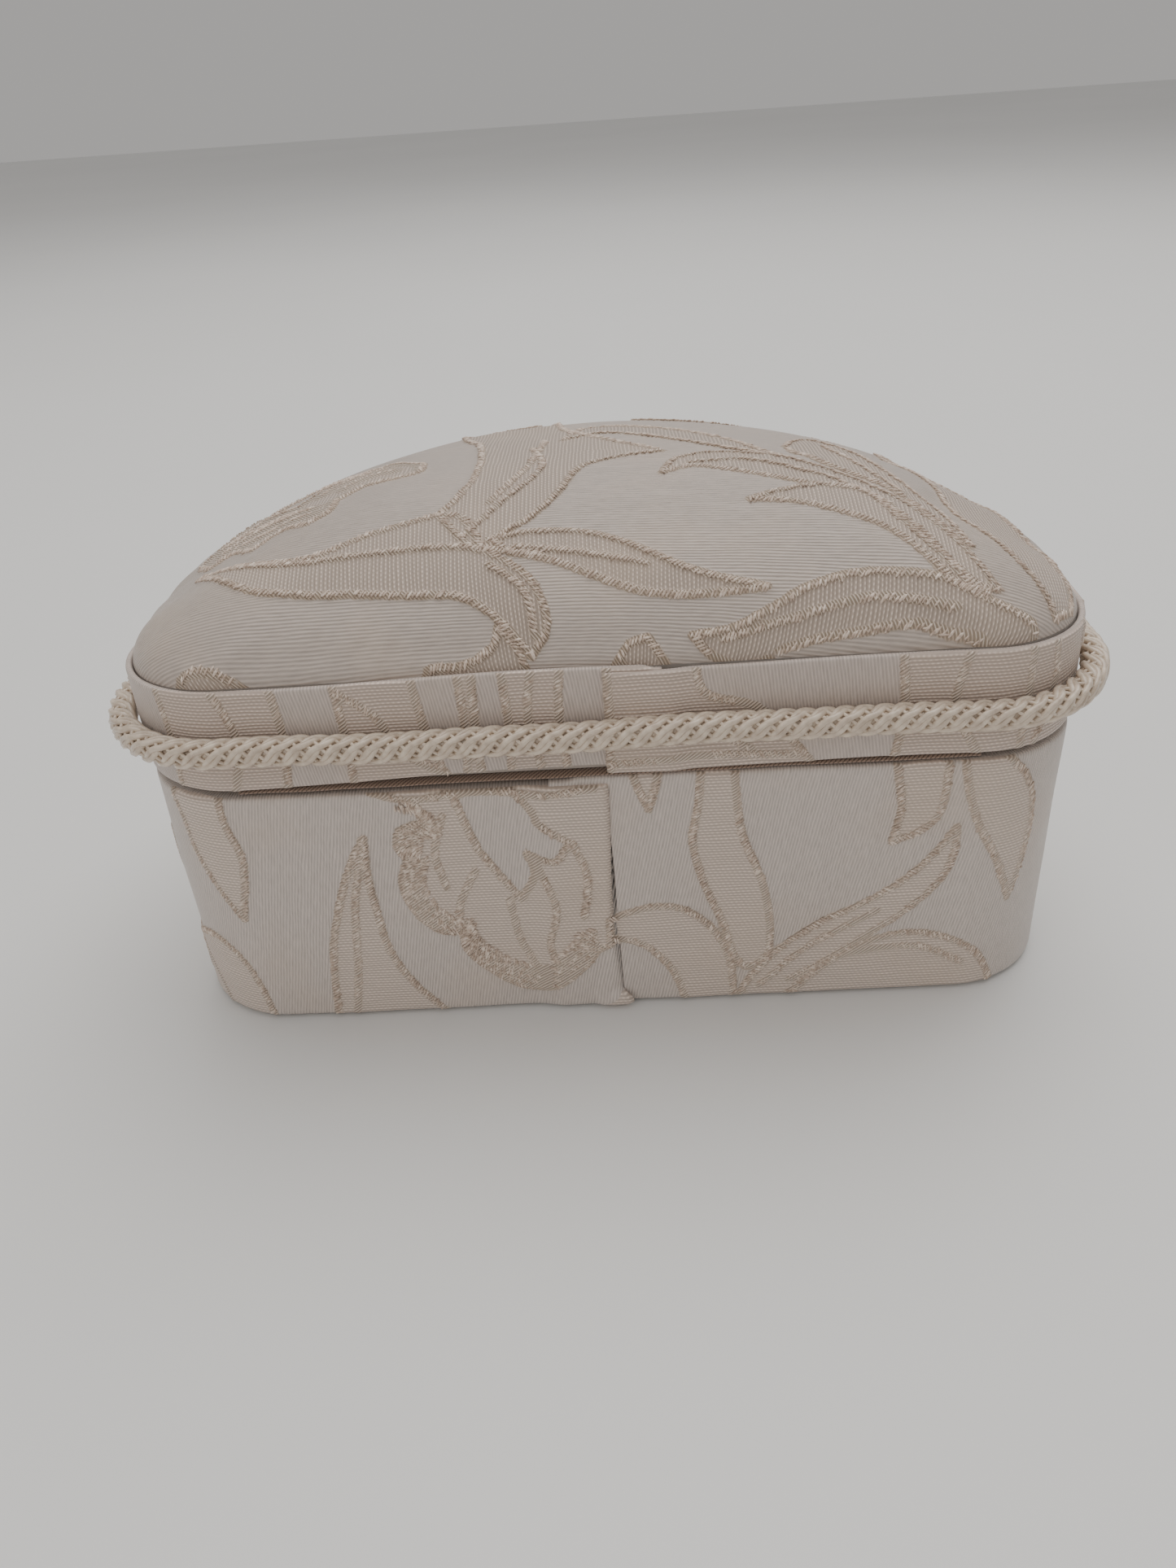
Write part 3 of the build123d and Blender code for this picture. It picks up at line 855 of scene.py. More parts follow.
def settle(points, share, angle):
    """Adds what the cloth trial moved to finer crown points."""
    ring = np.interp(share, coarse_share, np.arange(coarse_rings))
    spoke = angle / (2 * math.pi) * coarse_spokes
    low_ring = np.minimum(ring.astype(int), coarse_rings - 2)
    low_spoke = np.floor(spoke).astype(int)
    ring_part = (ring - low_ring)[:, None, None]
    spoke_part = (spoke - low_spoke)[None, :, None]
    here, after = low_spoke % coarse_spokes, (low_spoke + 1) % coarse_spokes
    inner, outer = (
        rows[:, here] * (1 - spoke_part) + rows[:, after] * spoke_part
        for rows in (moved[low_ring], moved[low_ring + 1])
    )
    added = inner * (1 - ring_part) + outer * ring_part
    for _ in range(10):
        added = (np.roll(added, 1, 1) + np.roll(added, -1, 1) + 2 * added) / 4
        added[1:-1] = (added[:-2] + added[2:] + 2 * added[1:-1]) / 4
    return points + added


rings, spokes = 118, 640
share = rim_shares(rings + 1)[1:]
angle = np.arange(spokes) * 2 * math.pi / spokes
crown = settle(crown_shape(share[:, None], angle[None, :]), share, angle)
middle = np.array([0, crown_y, crown[0, :, 2].mean() + 0.02])
from_middle = np.concatenate((np.broadcast_to(middle, (1, spokes, 3)), crown))
length = np.cumsum(np.linalg.norm(np.diff(from_middle, axis=0), axis=-1), axis=0)
cloth_u = length * np.cos(angle)
cloth_v = length * np.sin(angle)

top_leaves = [
    leaf(
        [(65, 20), (54, 31), (46, 34), (37, 35), (29, 36), (21, 37), (15.5, 41), (11, 47)],
        [(8, 43), (9, 37), (12, 33), (17, 29)], [(20, 22), (24, 20.5)],
        [(35, 24), (44, 27), (55, 25), (65, 20)],
    ),
    leaf(
        [(22, -36), (24, -25), (20, -13), (18.5, 0), (19, 10), (21, 16), (24, 20.5)],
        [(18, 29), (14, 26), (9, 22), (5, 16), (1.5, 8), (-5, 4), (-12, 2)],
        [(-3, -6), (4, -16), (8, -36)],
    ),
    leaf(
        [(16, 27), (9, 26), (1, 27), (-6, 30), (-12, 33.5), (-18, 36), (-26, 38)],
        [(-20, 38.7), (-13, 39), (-6, 38), (1, 35), (7, 32), (13, 30)],
    ),
    leaf(
        [(-15, 45), (-21, 44), (-27, 41), (-32, 38), (-39, 36), (-46, 36), (-52, 37), (-58, 39.5),
         (-66, 42)],
        [(-68, 47), (-62, 50)],
        [(-59, 45), (-53, 44), (-48, 43), (-41, 44), (-35, 45), (-30, 46.5), (-25, 49), (-19, 48),
         (-15, 45)],
    ),
    leaf(
        [(-11, 12), (-14, 6), (-21, 3), (-29, 4), (-36, 9), (-44, 16), (-52, 25), (-60, 38)],
        [(-55, 37), (-49, 27), (-42, 18)], [(-33, 16.5), (-25, 13), (-17, 10), (-11, 12)],
    ),
    leaf(
        [(-24, 21), (-29, 19), (-36, 17), (-42, 18), (-47, 26), (-52, 33), (-58, 39)],
        [(-54, 38), (-51, 35), (-45, 28.5), (-39, 25), (-31, 22), (-24, 21)],
    ),
    leaf(
        [(-33, -3), (-35.5, -8), (-39, -10), (-45, -2), (-49, 9), (-53, 19), (-57, 30)],
        [(-52, 24), (-46, 15), (-40, 10), (-35, 3), (-33, -3)],
    ),
    leaf(
        [(-52, -14), (-56, 5), (-58, 19), (-62, 26), (-70, 40)],
        [(-74, 34), (-70, 14), (-64, 0), (-52, -14)],
    ),
    leaf(
        [(5, -8), (-2, -12), (-11, -7.5), (-21, -1), (-31, 4)],
        [(-22, -7), (-12, -16), (0, -19), (5, -8)],
    ),
    leaf([(29, 50), (28, 47), (22, 47), (17, 45), (15.5, 42)], [(13, 46), (12, 51)]),
    leaf([(-2, 50), (-5, 46)], [(-8, 45.2)], [(-12, 50)]),
    leaf([(69, 46), (64, 43), (58, 44.5), (53, 49)], [(60, 53)]),
    leaf([(48, -30), (40, -36), (26, -34), (10, -30)], [(22, -42), (36, -47), (44, -44), (48, -30)]),
    leaf([(-8, -30), (-18, -26), (-34, -28), (-48, -22)], [(-40, -36), (-24, -42), (-8, -30)]),
    leaf([(8, -60), (6, -50), (0, -42), (-10, -38)], [(-9, -48), (-14, -60)]),
]
top_flower = leaf(
    [(68, 12), (62, 3), (58, -4)], [(53, -5), (49, -10)], [(45, -9), (41, -12.5)], [(34, -9), (29, -4)],
    [(29, 1), (33, 4)], [(38, 5), (42, 9)], [(42.5, 14), (46, 17)], [(51, 16), (55, 19)],
    [(60, 15), (64, 17)],
)
top_openings = [
    leaf([(50, 5), (46, -2), (40, -5)], [(45, -6), (52, -2), (56, 4)]),
]
top_veins = [curve(points, vein_step) for points in (
    [(58, 24), (46, 28), (34, 28), (22, 28), (8, 31)], [(20, 26), (14, 18), (8, 8), (10, -4)],
    [(16, 32), (11, 37), (10, 44)], [(12, 29), (2, 31), (-8, 33.5)],
    [(-20, 45.5), (-30, 42.5), (-42, 39.5), (-54, 41)], [(-16, 8), (-26, 7), (-36, 13), (-46, 22)],
    [(-40, -4), (-44, 6), (-49, 17)], [(62, 8), (52, 8), (46, 10)], [(36, -6), (44, -1), (46, 3)],
    [(54, -1), (58, 5), (64, 9)], [(34, -3), (39, -1), (42, 3)], [(37, -8), (42, -5), (48, -6)],
    [(45, 13), (52, 12), (60, 13)], [(50, 9), (57, 9), (63, 12)], [(8, -8), (9, 0), (11, 9), (16, 18)],
)]

cloth_places = np.stack((cloth_u.ravel(), cloth_v.ravel()), 1)
inside, line = weave_figure(cloth_places, top_leaves + [top_flower], top_openings, top_veins)
# The flower is brocaded thickly all over, so its threads stand up everywhere in it.
in_flower, _ = weave_figure(cloth_places, [top_flower], top_openings)
line = np.where(in_flower > 0, line * 0.4, line)
inside = inside.reshape(cloth_u.shape)
line = line.reshape(cloth_u.shape)


def lattice_normals(lattice):
    """Unit normals of a closed-column lattice, pointing up and outwards."""
    along_ring = np.roll(lattice, -1, 1) - np.roll(lattice, 1, 1)
    down = np.gradient(lattice, axis=0)
    normal = np.cross(down, along_ring)
    return normal / np.maximum(np.linalg.norm(normal, axis=-1, keepdims=True), 1e-9)


normals = lattice_normals(crown)
lift = relief(inside, line) + 0.16 * puckers(cloth_u, cloth_v, 30.0, 8)
# Small gathers where the cloth is pulled over the corners and glued down.
gathers = 0.5 + 0.5 * np.sin(angle * 61 + 2.0 * np.sin(angle * 7))
edge_pull = ease(share, 0.86, 1.0)[:, None] * gathers[None, :]
lift = (lift - 0.22 * edge_pull) * ease(1.02 - share, 0.0, 0.06)[:, None]
raised = crown + normals * lift[..., None]
top_cloth_thickness = 0.45
skirt_depth = np.array([0.8, 2.2, 5.0, 9.0, 13.0, 16.6])
rim_line = crown[-1, :, :2]
skirt = np.stack([np.column_stack((rim_line, np.full(spokes, rim_z - depth))) for depth in skirt_depth])
outside = np.concatenate((raised, skirt))
skirt_end = skirt_depth.size + rings - 1
back_rings = np.array([skirt_end, rings + 2, rings - 1, rings - 14, rings - 34, rings - 64, 24])
level_out = np.column_stack((np.cos(angle), np.sin(angle), 0 * angle))
inner_normals = np.concatenate((normals, np.broadcast_to(level_out, skirt.shape)))
inside_face = np.concatenate((crown, skirt)) - inner_normals * top_cloth_thickness
inside_face = inside_face[back_rings]
# Below the skirt the margin turns in under the rim board's edge, as far as the lining.
rim_run = np.roll(rim_line, -1, 0) - np.roll(rim_line, 1, 0)
inwards = np.stack((-rim_run[:, 1], rim_run[:, 0]), 1) / np.linalg.norm(rim_run, axis=1)[:, None]
margin = []
for inset, z in (
    (0.05, 47.5), (0.2, 47.37), (0.5, 47.31), (1.0, 47.3), (1.6, 47.3), (2.15, 47.31),
    (2.3, 47.42), (2.3, 47.62), (2.15, 47.74), (1.3, 47.76), (0.6, 47.76),
):
    margin.append(np.column_stack((rim_line + inwards * inset, np.full(spokes, z))))
top_lattice = np.concatenate((outside, np.array(margin), inside_face))
top_rows = len(top_lattice)
under_middle = middle - [0, 0, top_cloth_thickness]
top_points = np.vstack((top_lattice.reshape(-1, 3), middle, under_middle))
top_faces = quads(top_rows, spokes, closed_columns=True)
top_faces += [[(k + 1) % spokes, k, top_rows * spokes] for k in range(spokes)]
last = (top_rows - 1) * spokes
top_faces += [[last + k, last + (k + 1) % spokes, top_rows * spokes + 1] for k in range(spokes)]


def over_rows(values, fill):
    """Values for the crown's rows, the rest filled, with one more for each pole."""
    full = np.full((top_rows, spokes), float(fill))
    full[:rings] = values
    return np.append(full.ravel(), [values[0].mean(), fill])


# Painted shade: this is the wall's brocade with all its colours made darker, standing in for the shading on
# the crown's slopes.
top_brocade_painted_shade = brocade(
    "top_brocade_painted_shade", thread=0.55, slant=0.05,
    Ground=(0.515, 0.44, 0.385), Rib=(0.56, 0.45, 0.37), Cord=(0.47, 0.365, 0.275),
)
top_cloth = make_piece("top_cloth", top_points, top_faces, top_brocade_painted_shade)
give_uv(top_cloth, over_rows(cloth_v, 60.0), over_rows(cloth_u, 0.0))
give_value(top_cloth, "inside", over_rows(inside, -FAR))
give_value(top_cloth, "line", over_rows(line, FAR))
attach(top_cloth, "lid")
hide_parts("lid_top_cloth")


def within_the_rim(places):
    """Which places on the flat cloth are at least a millimetre inside the rim."""
    around = np.append(angle, 2 * math.pi)
    far_edge = np.append(length[-1], length[-1, 0])
    turn = np.arctan2(places[:, 1], places[:, 0])
    edge = np.interp(turn, around, far_edge, period=2 * math.pi)
    return edge - 1.0 > np.hypot(places[:, 0], places[:, 1])


top_outlines = top_leaves + [top_flower] + top_openings + top_veins
places, slants = float_points(top_outlines, within_the_rim, 6)


def on_crown(places):
    """Points on the crown, in mm, for places on the flat cloth."""
    turn = np.arctan2(places[:, 1], places[:, 0]) % (2 * math.pi) / (2 * math.pi) * spokes
    run_out = np.hypot(places[:, 0], places[:, 1])
    low = np.floor(turn).astype(int) % spokes
    found = []
    for column, part, far in zip(low, turn - np.floor(turn), run_out):
        ring = np.interp(far, length[:, column], np.arange(rings))
        row = min(int(ring), rings - 2)
        here, after = (
            raised[row, spoke] * (1 - ring + row) + raised[row + 1, spoke] * (ring - row)
            for spoke in (column, (column + 1) % spokes)
        )
        found.append(here * (1 - part) + after * part)
    return np.array(found)


first = on_crown(places)
ahead = on_crown(places + slants * 0.6) - first
sideways = on_crown(places + np.stack((-slants[:, 1], slants[:, 0]), 1) * 0.6) - first
up_way = np.cross(ahead, sideways)
up_way /= np.maximum(np.linalg.norm(up_way, axis=1), 1e-9)[:, None]
up_way *= np.sign(up_way[:, 2])[:, None]
top_floats = lay_floats("top_floats", first, ahead, up_way, outline_thread, 12)
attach(top_floats, "lid")

# The wadding under it fills the crown up to the cloth.
fluff_steps = (0.3, (0.55, 0.54, 0.52)), (0.7, (0.82, 0.81, 0.79))
wadding, _ = speckled("wadding", 500, 6, fluff_steps, 0.95, sheen=0.5, bump=(0.6, 0.0006))
pad_pick = np.r_[2:rings - 4:4, rings - 4]
pad_crown = crown[pad_pick][:, ::4] - normals[pad_pick][:, ::4] * 0.62
pad_crown[..., 2] = np.maximum(pad_crown[..., 2], rim_z + 0.35)
pad_floor = pad_crown[-1:] * 1.0
pad_floor[..., 2] = rim_z + 0.05


def closed_stack(name, lattice, material, tip=None, foot=None):
    """A closed form from rings of points, its two ends closed to a point in their middle."""
    rows, columns = lattice.shape[:2]
    tip = lattice[0].mean(0) if tip is None else tip
    foot = lattice[-1].mean(0) if foot is None else foot
    points = np.vstack((lattice.reshape(-1, 3), tip, foot))
    faces = quads(rows, columns, closed_columns=True)
    faces += [[(k + 1) % columns, k, rows * columns] for k in range(columns)]
    end = (rows - 1) * columns
    faces += [[end + k, end + (k + 1) % columns, rows * columns + 1] for k in range(columns)]
    return make_piece(name, points, faces, material)


pad_lattice = np.concatenate((pad_crown, pad_floor))
crown_wadding = closed_stack(
    "crown_wadding", pad_lattice, wadding,
    middle - [0, 0, 0.65], np.array([0, crown_y, rim_z + 0.05]),
)
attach(crown_wadding, "lid")
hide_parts("lid_padding")

# ==== Lid band =================================================================================
# A straight strip of the same brocade, hemmed on both edges and glued round the lid's rim over
# the top cloth. Its ends lap in the middle of the back, the one from the -X side on top.

band_low, band_high = (np.array(corner) * 1000 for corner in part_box("lid_band_cloth"))
band_width = band_high[2] - band_low[2]
band_leaves = [
    leaf([(67, -4), (66, 9), (67, 21)], [(49, 21)], [(48, 9), (49.5, -4)]),
    leaf([(39, -4), (38.5, 6), (39.5, 21)], [(28, 21)], [(26.5, 9), (23, -4)]),
    leaf([(21.3, -4), (20.6, 10), (21, 21)], [(18.6, 21)], [(19, 8), (18.6, -4)]),
    leaf([(14.6, -4), (14, 8), (14.6, 21)], [(5.6, 21)], [(6.4, 10), (5.2, -4)]),
    leaf([(-0.8, 21), (-1, 10), (-0.6, -4)], [(-34, -4)], [(-24, 9), (-15, 13), (-14, 21)]),
    leaf([(-43, -4), (-44.5, 8), (-43.5, 21)], [(-66, 21)], [(-68, 10), (-64, -4)]),
]
band_veins = [curve(points, vein_step) for points in (
    [(39, 16), (34, 12), (30, 5), (24, 1)], [(-3, 9), (-12, 8), (-22, 3)],
    [(10, 19), (11, 10), (9.5, 0)], [(58, 19), (55, 9), (57, 0)], [(-54, 19), (-52, 9), (-56, 0)],
    [(-1, 1.6), (-14, 2.2), (-30, 1.4)],
)]
band_all = band_leaves + shifted(band_leaves, repeat) + shifted(band_leaves, -repeat)
band_all += shifted(band_leaves[:3], 92.0) + shifted(band_leaves[4:5], -62.0)
band_all += shifted(band_leaves[1:3], -122.0)
band_all_veins = band_veins + shifted(band_veins, repeat) + shifted(band_veins, -repeat)
band_outer = [(-0.30, 0.0), (-0.08, 0.14), (0.0, 0.42)]
band_outer += rounded_run([(0.0, 0.9), (0.0, band_width - 0.9)], 0.6)
band_outer += [(0.0, band_width - 0.42), (-0.08, band_width - 0.14), (-0.30, band_width)]
band_inner = [
    (-0.85, band_width), (-1.05, band_width - 0.3), (-1.05, band_width / 2), (-1.05, 0.3), (-0.85, 0.0),
]
section = np.array(band_outer + band_inner)
strip_run = np.arange(0, 2 * half_girth + lap, weave_step)
strip_end = strip_run[-1]
along = (strip_run - lap)[None, :]
height = section[:, 1][:, None] + np.zeros_like(along)
out = section[:, 0][:, None] + np.zeros_like(along)
to_end = (strip_end - strip_run)[None, :]
from_start = strip_run[None, :]
band_lap_stand = 0.62
out = out + band_lap_stand * (1 - ease(to_end, lap, lap + fold_slope))
wave = 0.16 * np.sin(along / 9.5) + 0.12 * np.sin(along / 23.0 + 1.0)
height = height + wave * np.abs(height / band_width * 2 - 1)
# The lower end of the strip is cut a little askew and shows above and below the upper one.
foot_rise = 0.6
end_part = 1 - ease(from_start, 25, 80)
height = height + foot_rise * end_part * ease(from_start, 1, 3) * (1 - ease(height, 0, 8))
height = height + 0.45 * (1 - ease(from_start, lap, 60)) * ease(from_start, 1, 3)
inside, line = weave_figure(on_the_cloth(along, height), band_all, (), band_all_veins)
inside = inside.reshape(height.shape)
line = line.reshape(height.shape)
on_band = (np.arange(len(section)) < len(band_outer))[:, None]
out = out + on_band * (relief(inside, line) * 0.9 + 0.10 * puckers(along, height, 14.0, 4))
out = out - on_band * 0.35 * (1 - ease(to_end, 0, fold_nip))
band_brocade = brocade("band_brocade", slant=-0.15, Ground=(0.62, 0.53, 0.475), Rib=(0.74, 0.60, 0.51))
band_foot = band_low[2]
band_cloth = woven_strip(
    "band_cloth", along, out, height, band_foot, inside, line, on_band, band_brocade,
)
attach(band_cloth, "lid")
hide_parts("lid_band_cloth")


def on_the_band(places):
    """Which places show: between the band's hems, and not behind the cord."""
    clear = (places[:, 1] > 0.9) & (places[:, 1] < band_width - 0.7)
    hidden = (places[:, 1] > 4.6) & (places[:, 1] < 11.0)
    return clear & ~hidden & (abs(places[:, 0]) < 2 * half_girth)


places, slants = float_points(band_all + band_all_veins, on_the_band, 9)
keep_one = (places[:, 0] >= -half_girth) & (places[:, 0] < half_girth)
places, slants = places[keep_one], slants[keep_one]
end_part = (1 - ease(places[:, 0] + lap, 25, 80)) * (places[:, 0] > 0)
places[:, 1] += foot_rise * end_part * (1 - ease(places[:, 1], 0, 8))
on_lap = (places[:, 0] < 0) & (places[:, 0] > -lap - 1.5)
band_floats = strip_floats(
    "band_floats", places, slants, 0.16 + band_lap_stand * on_lap, band_foot, 13,
)
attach(band_floats, "lid")

# ==== Trim cord ================================================================================
# A shiny corded trim glued round the band. Four strands, each of two yarns twisted round one
# another, are laid up over finer yarns that run the other way round a core.

cord_low, cord_high = (np.array(corner) * 1000 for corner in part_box("lid_trim_cord"))
cord_middle = (cord_low[2] + cord_high[2]) / 2
cord_stand = 2.55


def cord_line(share, sideways, upwards):
    """A point in the cord, sideways and upwards of its middle, at a share of the way round."""
    here = (share - 0.5) * 2 * half_girth
    x, y, _, _ = plan(here, cord_stand + sideways)
    sag = 0.22 * np.sin(share * 2 * math.pi * 5) + 0.12 * np.sin(share * 2 * math.pi * 13 + 1)
    return np.stack((x, y, cord_middle + upwards + sag + 0 * x), -1)


def lay_plies(name, plies, radius, sides, material):
    """Closed lines swept with a round section, by Geometry Nodes."""
    count = len(plies[0])
    mesh = bpy.data.meshes.new(name + "_lines")
    edges = [
        [ply * count + k, ply * count + (k + 1) % count] for ply in range(len(plies)) for k in range(count)
    ]
    mesh.from_pydata((np.vstack(plies) * 0.001).tolist(), edges, [])
    holder = bpy.data.objects.new(name + "_lines", mesh)
    bpy.context.scene.collection.objects.link(holder)
    tree = bpy.data.node_groups.new(name + "_sweep", "GeometryNodeTree")
    face = tree.interface
    face.new_socket("Geometry", in_out="INPUT", socket_type="NodeSocketGeometry")
    face.new_socket("Ply radius", in_out="INPUT", socket_type="NodeSocketFloat")
    face.new_socket("Ply sides", in_out="INPUT", socket_type="NodeSocketInt")
    face.new_socket("Geometry", in_out="OUTPUT", socket_type="NodeSocketGeometry")
    given = put(tree, "NodeGroupInput").outputs
    lines = put(tree, "GeometryNodeMeshToCurve", {0: given["Geometry"]})
    section = put(
        tree, "GeometryNodeCurvePrimitiveCircle",
        {"Resolution": given["Ply sides"], "Radius": given["Ply radius"]},
    )
    swept = put(
        tree, "GeometryNodeCurveToMesh",
        {0: lines.outputs[0], "Profile Curve": section.outputs[0]},
    )
    real = put(tree, "GeometryNodeRealizeInstances", {0: swept.outputs[0]})
    smooth = put(tree, "GeometryNodeSetShadeSmooth", {0: real.outputs[0]})
    dressed = put(tree, "GeometryNodeSetMaterial", {0: smooth.outputs[0], "Material": material})
    put(tree, "NodeGroupOutput", {0: dressed.outputs[0]})
    return baked(holder, tree, name, {"Ply radius": radius * 0.001, "Ply sides": sides}, material)


yarn_steps = (0.3, (0.52, 0.42, 0.33)), (0.65, (0.74, 0.63, 0.51))
cord_yarn, yarn_surface = speckled("cord_yarn", 700, 3, yarn_steps, 0.26)
yarn_surface.inputs["Coat Weight"].default_value = 0.3
strands = 4
strand_turns = -36
strand_radius = 1.74
yarn_twist_out, yarn_twist_round = 0.2, 0.33
binder_count = 6
binder_turns = 41
binder_radius = 1.6
cord_share = np.arange(1300) / 1300
plies = []
for strand in range(strands):
    for yarn in (0, math.pi):
        lay = 2 * math.pi * (strand_turns * cord_share + strand / strands)
        twist = 2 * lay + yarn
        from_middle = strand_radius + yarn_twist_out * np.sin(twist)
        lay = lay + yarn_twist_round * np.cos(twist)
        plies.append(cord_line(cord_share, from_middle * np.cos(lay), from_middle * np.sin(lay)))
binders = []
for yarn in range(binder_count):
    lay = 2 * math.pi * (binder_turns * cord_share + yarn / binder_count)
    binders.append(cord_line(cord_share, binder_radius * np.cos(lay), binder_radius * np.sin(lay)))
trim_cord = lay_plies("trim_cord", plies, 0.52, 6, cord_yarn)
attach(trim_cord, "lid")
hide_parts("lid_trim_cord")
core_line = cord_line(cord_share, 0 * cord_share, 0 * cord_share)
cord_binders = lay_plies("trim_cord_binders", binders, 0.32, 5, cord_yarn)
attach(cord_binders, "lid")
cord_core = lay_plies("trim_cord_core", [core_line], 1.4, 10, cord_yarn)
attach(cord_core, "lid")

# ==== Hinge cloth ==============================================================================
# A strip of brown twill tape glued inside the back walls of base and lid. It is the hinge, and it
# shows in the slit between them.


def shell(name, front, back, material):
    """A thin closed sheet between two lattices of points."""
    rows, columns = front.shape[:2]
    size = rows * columns
    points = np.concatenate((front.reshape(-1, 3), back.reshape(-1, 3)))
    faces = quads(rows, columns)
    faces += [[size + k for k in reversed(face)] for face in quads(rows, columns)]
    edge = list(range(columns)) + [row * columns + columns - 1 for row in range(1, rows)]
    edge += [(rows - 1) * columns + k for k in range(columns - 2, -1, -1)]
    edge += [row * columns for row in range(rows - 2, 0, -1)]
    faces += [[here, size + here, size + after, after] for here, after in zip(edge, edge[1:] + edge[:1])]
    return make_piece(name, points, faces, material)


twill, tree, surface = finish_material("twill")
cloth_uv = put(tree, "ShaderNodeUVMap", uv_map="cloth").outputs["UV"]
split = put(tree, "ShaderNodeSeparateXYZ", {0: cloth_uv})
lean = maths(tree, "ADD", split.outputs["X"], split.outputs["Y"])
wale, pick = (
    maths(tree, "MULTIPLY_ADD", maths(tree, "SINE", maths(tree, "MULTIPLY", value, pace)), 0.5, 0.5)
    for value, pace in ((lean, 9.0), (split.outputs["X"], 18.0))
)
twill_height = maths(tree, "MULTIPLY_ADD", pick, 0.25, wale)
tree.links.new(
    colour_steps(tree, twill_height, (0.1, (0.10, 0.066, 0.048)), (0.8, (0.34, 0.235, 0.175))),
    surface.inputs["Base Color"],
)
surface.inputs["Roughness"].default_value = 0.7
surface.inputs["Sheen Weight"].default_value = 0.3
bumped(tree, surface, twill_height, 0.6, 0.0001)

hinge_low, hinge_high = (np.array(corner) * 1000 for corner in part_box("hinge_cloth"))
axis_y, axis_z = 49.3, 46.55
half_slit = 0.62
glued_low, glued_high = 45.6, 47.5
tape_thickness = 0.3
tape_x = np.linspace(hinge_low[0], hinge_high[0], 96)[None, :]
# Shut, the tape's slack stands out into the slit as a low loop. Opening the lid would draw it flat, but the
# tape is built only in its shut shape.
loop = np.linspace(0, 1, 25)
tape_z = np.concatenate((
    np.linspace(hinge_low[2], glued_low, 14),
    axis_z - half_slit + 2 * half_slit * loop,
    np.linspace(glued_high, hinge_high[2], 14),
))[:, None]
loop_reach = 3.4
loop_out = np.concatenate((
    np.zeros(14), loop_reach * np.sin(math.pi * loop) ** 0.4, np.zeros(14),
))[:, None]
bulge = loop_out * (1 + 0.06 * puckers(tape_x, 0 * tape_z, 16.0, 21))
front = np.stack(np.broadcast_arrays(tape_x, hinge_high[1] - 0.05 + bulge, tape_z), -1)
normal = np.gradient(front, axis=0)
normal = np.stack((0 * normal[..., 0], normal[..., 2], -normal[..., 1]), -1)
normal /= np.linalg.norm(normal, axis=-1, keepdims=True)
back = front - normal * tape_thickness
tape_steps = np.linalg.norm(np.diff(front[:, 0], axis=0), axis=1)
tape_run = np.concatenate(([0], np.cumsum(tape_steps)))[:, None]
hinge_tape = shell("hinge_tape", front, back, twill)
give_uv(hinge_tape, np.tile(front[..., 0], (2, 1)), np.tile(tape_run + 0 * tape_x, (2, 1)))
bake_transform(hinge_tape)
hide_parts("hinge_cloth")

# ==== Felt foot ================================================================================
# A half-moon of grey-brown felt glued under the base, which covers the turned-in cloth.


def half_moon(inset, count):
    """The case's plan drawn in by inset: evenly spaced points in mm, from the middle of the back."""
    radius = max(corner_radius - inset, 3.0)
    wide = half_width - inset
    bend = np.linspace(0, math.pi / 2, 60)
    corner_x = wide - radius + radius * np.sin(bend)
    corner = np.stack((corner_x, back_y - inset - radius * (1 - np.cos(bend))), 1)
    front_arc = np.stack((wide * np.cos(bend), round_y - wide * np.sin(bend)), 1)
    right_half = np.vstack(([[0, back_y - inset]], corner, front_arc))
    whole = np.vstack((right_half, right_half[-2::-1] * [-1, 1]))
    run = np.concatenate(([0], np.cumsum(np.linalg.norm(np.diff(whole, axis=0), axis=1))))
    at = np.linspace(0, run[-1], count, endpoint=False)
    return np.stack((np.interp(at, run, whole[:, 0]), np.interp(at, run, whole[:, 1])), 1)


def moon_ring(inset, z, count=360, share=1.0):
    """One ring of a half-moon piece, shrunk towards the middle by share."""
    ring = half_moon(inset, count)
    y = crown_y + (ring[:, 1] - crown_y) * share
    return np.column_stack((ring[:, 0] * share, y, np.full(count, z)))


def nap(name, dark, light, scale, roughness, sheen, metres):
    """Napped cloth, felt or velvet, whose pile catches the light at its edges."""
    material, tree, surface = finish_material(name)
    fibres, brushed = (
        put(
            tree, "ShaderNodeTexNoise",
            {"Vector": object_coordinates(tree), "Scale": fineness, "Detail": detail},
        ).outputs["Fac"]
        for fineness, detail in ((scale, 5), (55, 2))
    )
    pile = maths(tree, "MULTIPLY_ADD", brushed, 0.45, maths(tree, "MULTIPLY", fibres, 0.6))
    tree.links.new(colour_steps(tree, pile, (0.35, dark), (0.68, light)), surface.inputs["Base Color"])
    surface.inputs["Roughness"].default_value = roughness
    surface.inputs["Sheen Weight"].default_value = sheen
    surface.inputs["Sheen Roughness"].default_value = 0.35
    bumped(tree, surface, fibres, 0.5, metres)
    return material


felt = nap("felt", (0.30, 0.27, 0.24), (0.58, 0.53, 0.47), 1500, 0.95, 0.3, 0.0003)
velvet = nap("velvet", (0.42, 0.34, 0.28), (0.66, 0.56, 0.47), 2200, 0.8, 1.0, 0.0002)

felt_rings = [moon_ring(4.3, 0.02, share=s) for s in (0.08, 0.4, 0.75, 0.93)]
felt_rings += [
    moon_ring(inset, z) for inset, z in ((4.15, 0.03), (4.0, 0.18), (4.05, 0.42), (4.4, 0.5))
]
felt_rings += [moon_ring(4.6, 0.5, share=s) for s in (0.85, 0.4, 0.08)]
foot_felt = closed_stack("foot_felt", np.array(felt_rings), felt)
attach(foot_felt, "base")
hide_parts("base_bottom_felt")

# ==== Linings ==================================================================================
# Satin glued over card, one band in the base and one in the lid, turned over each card's edge.

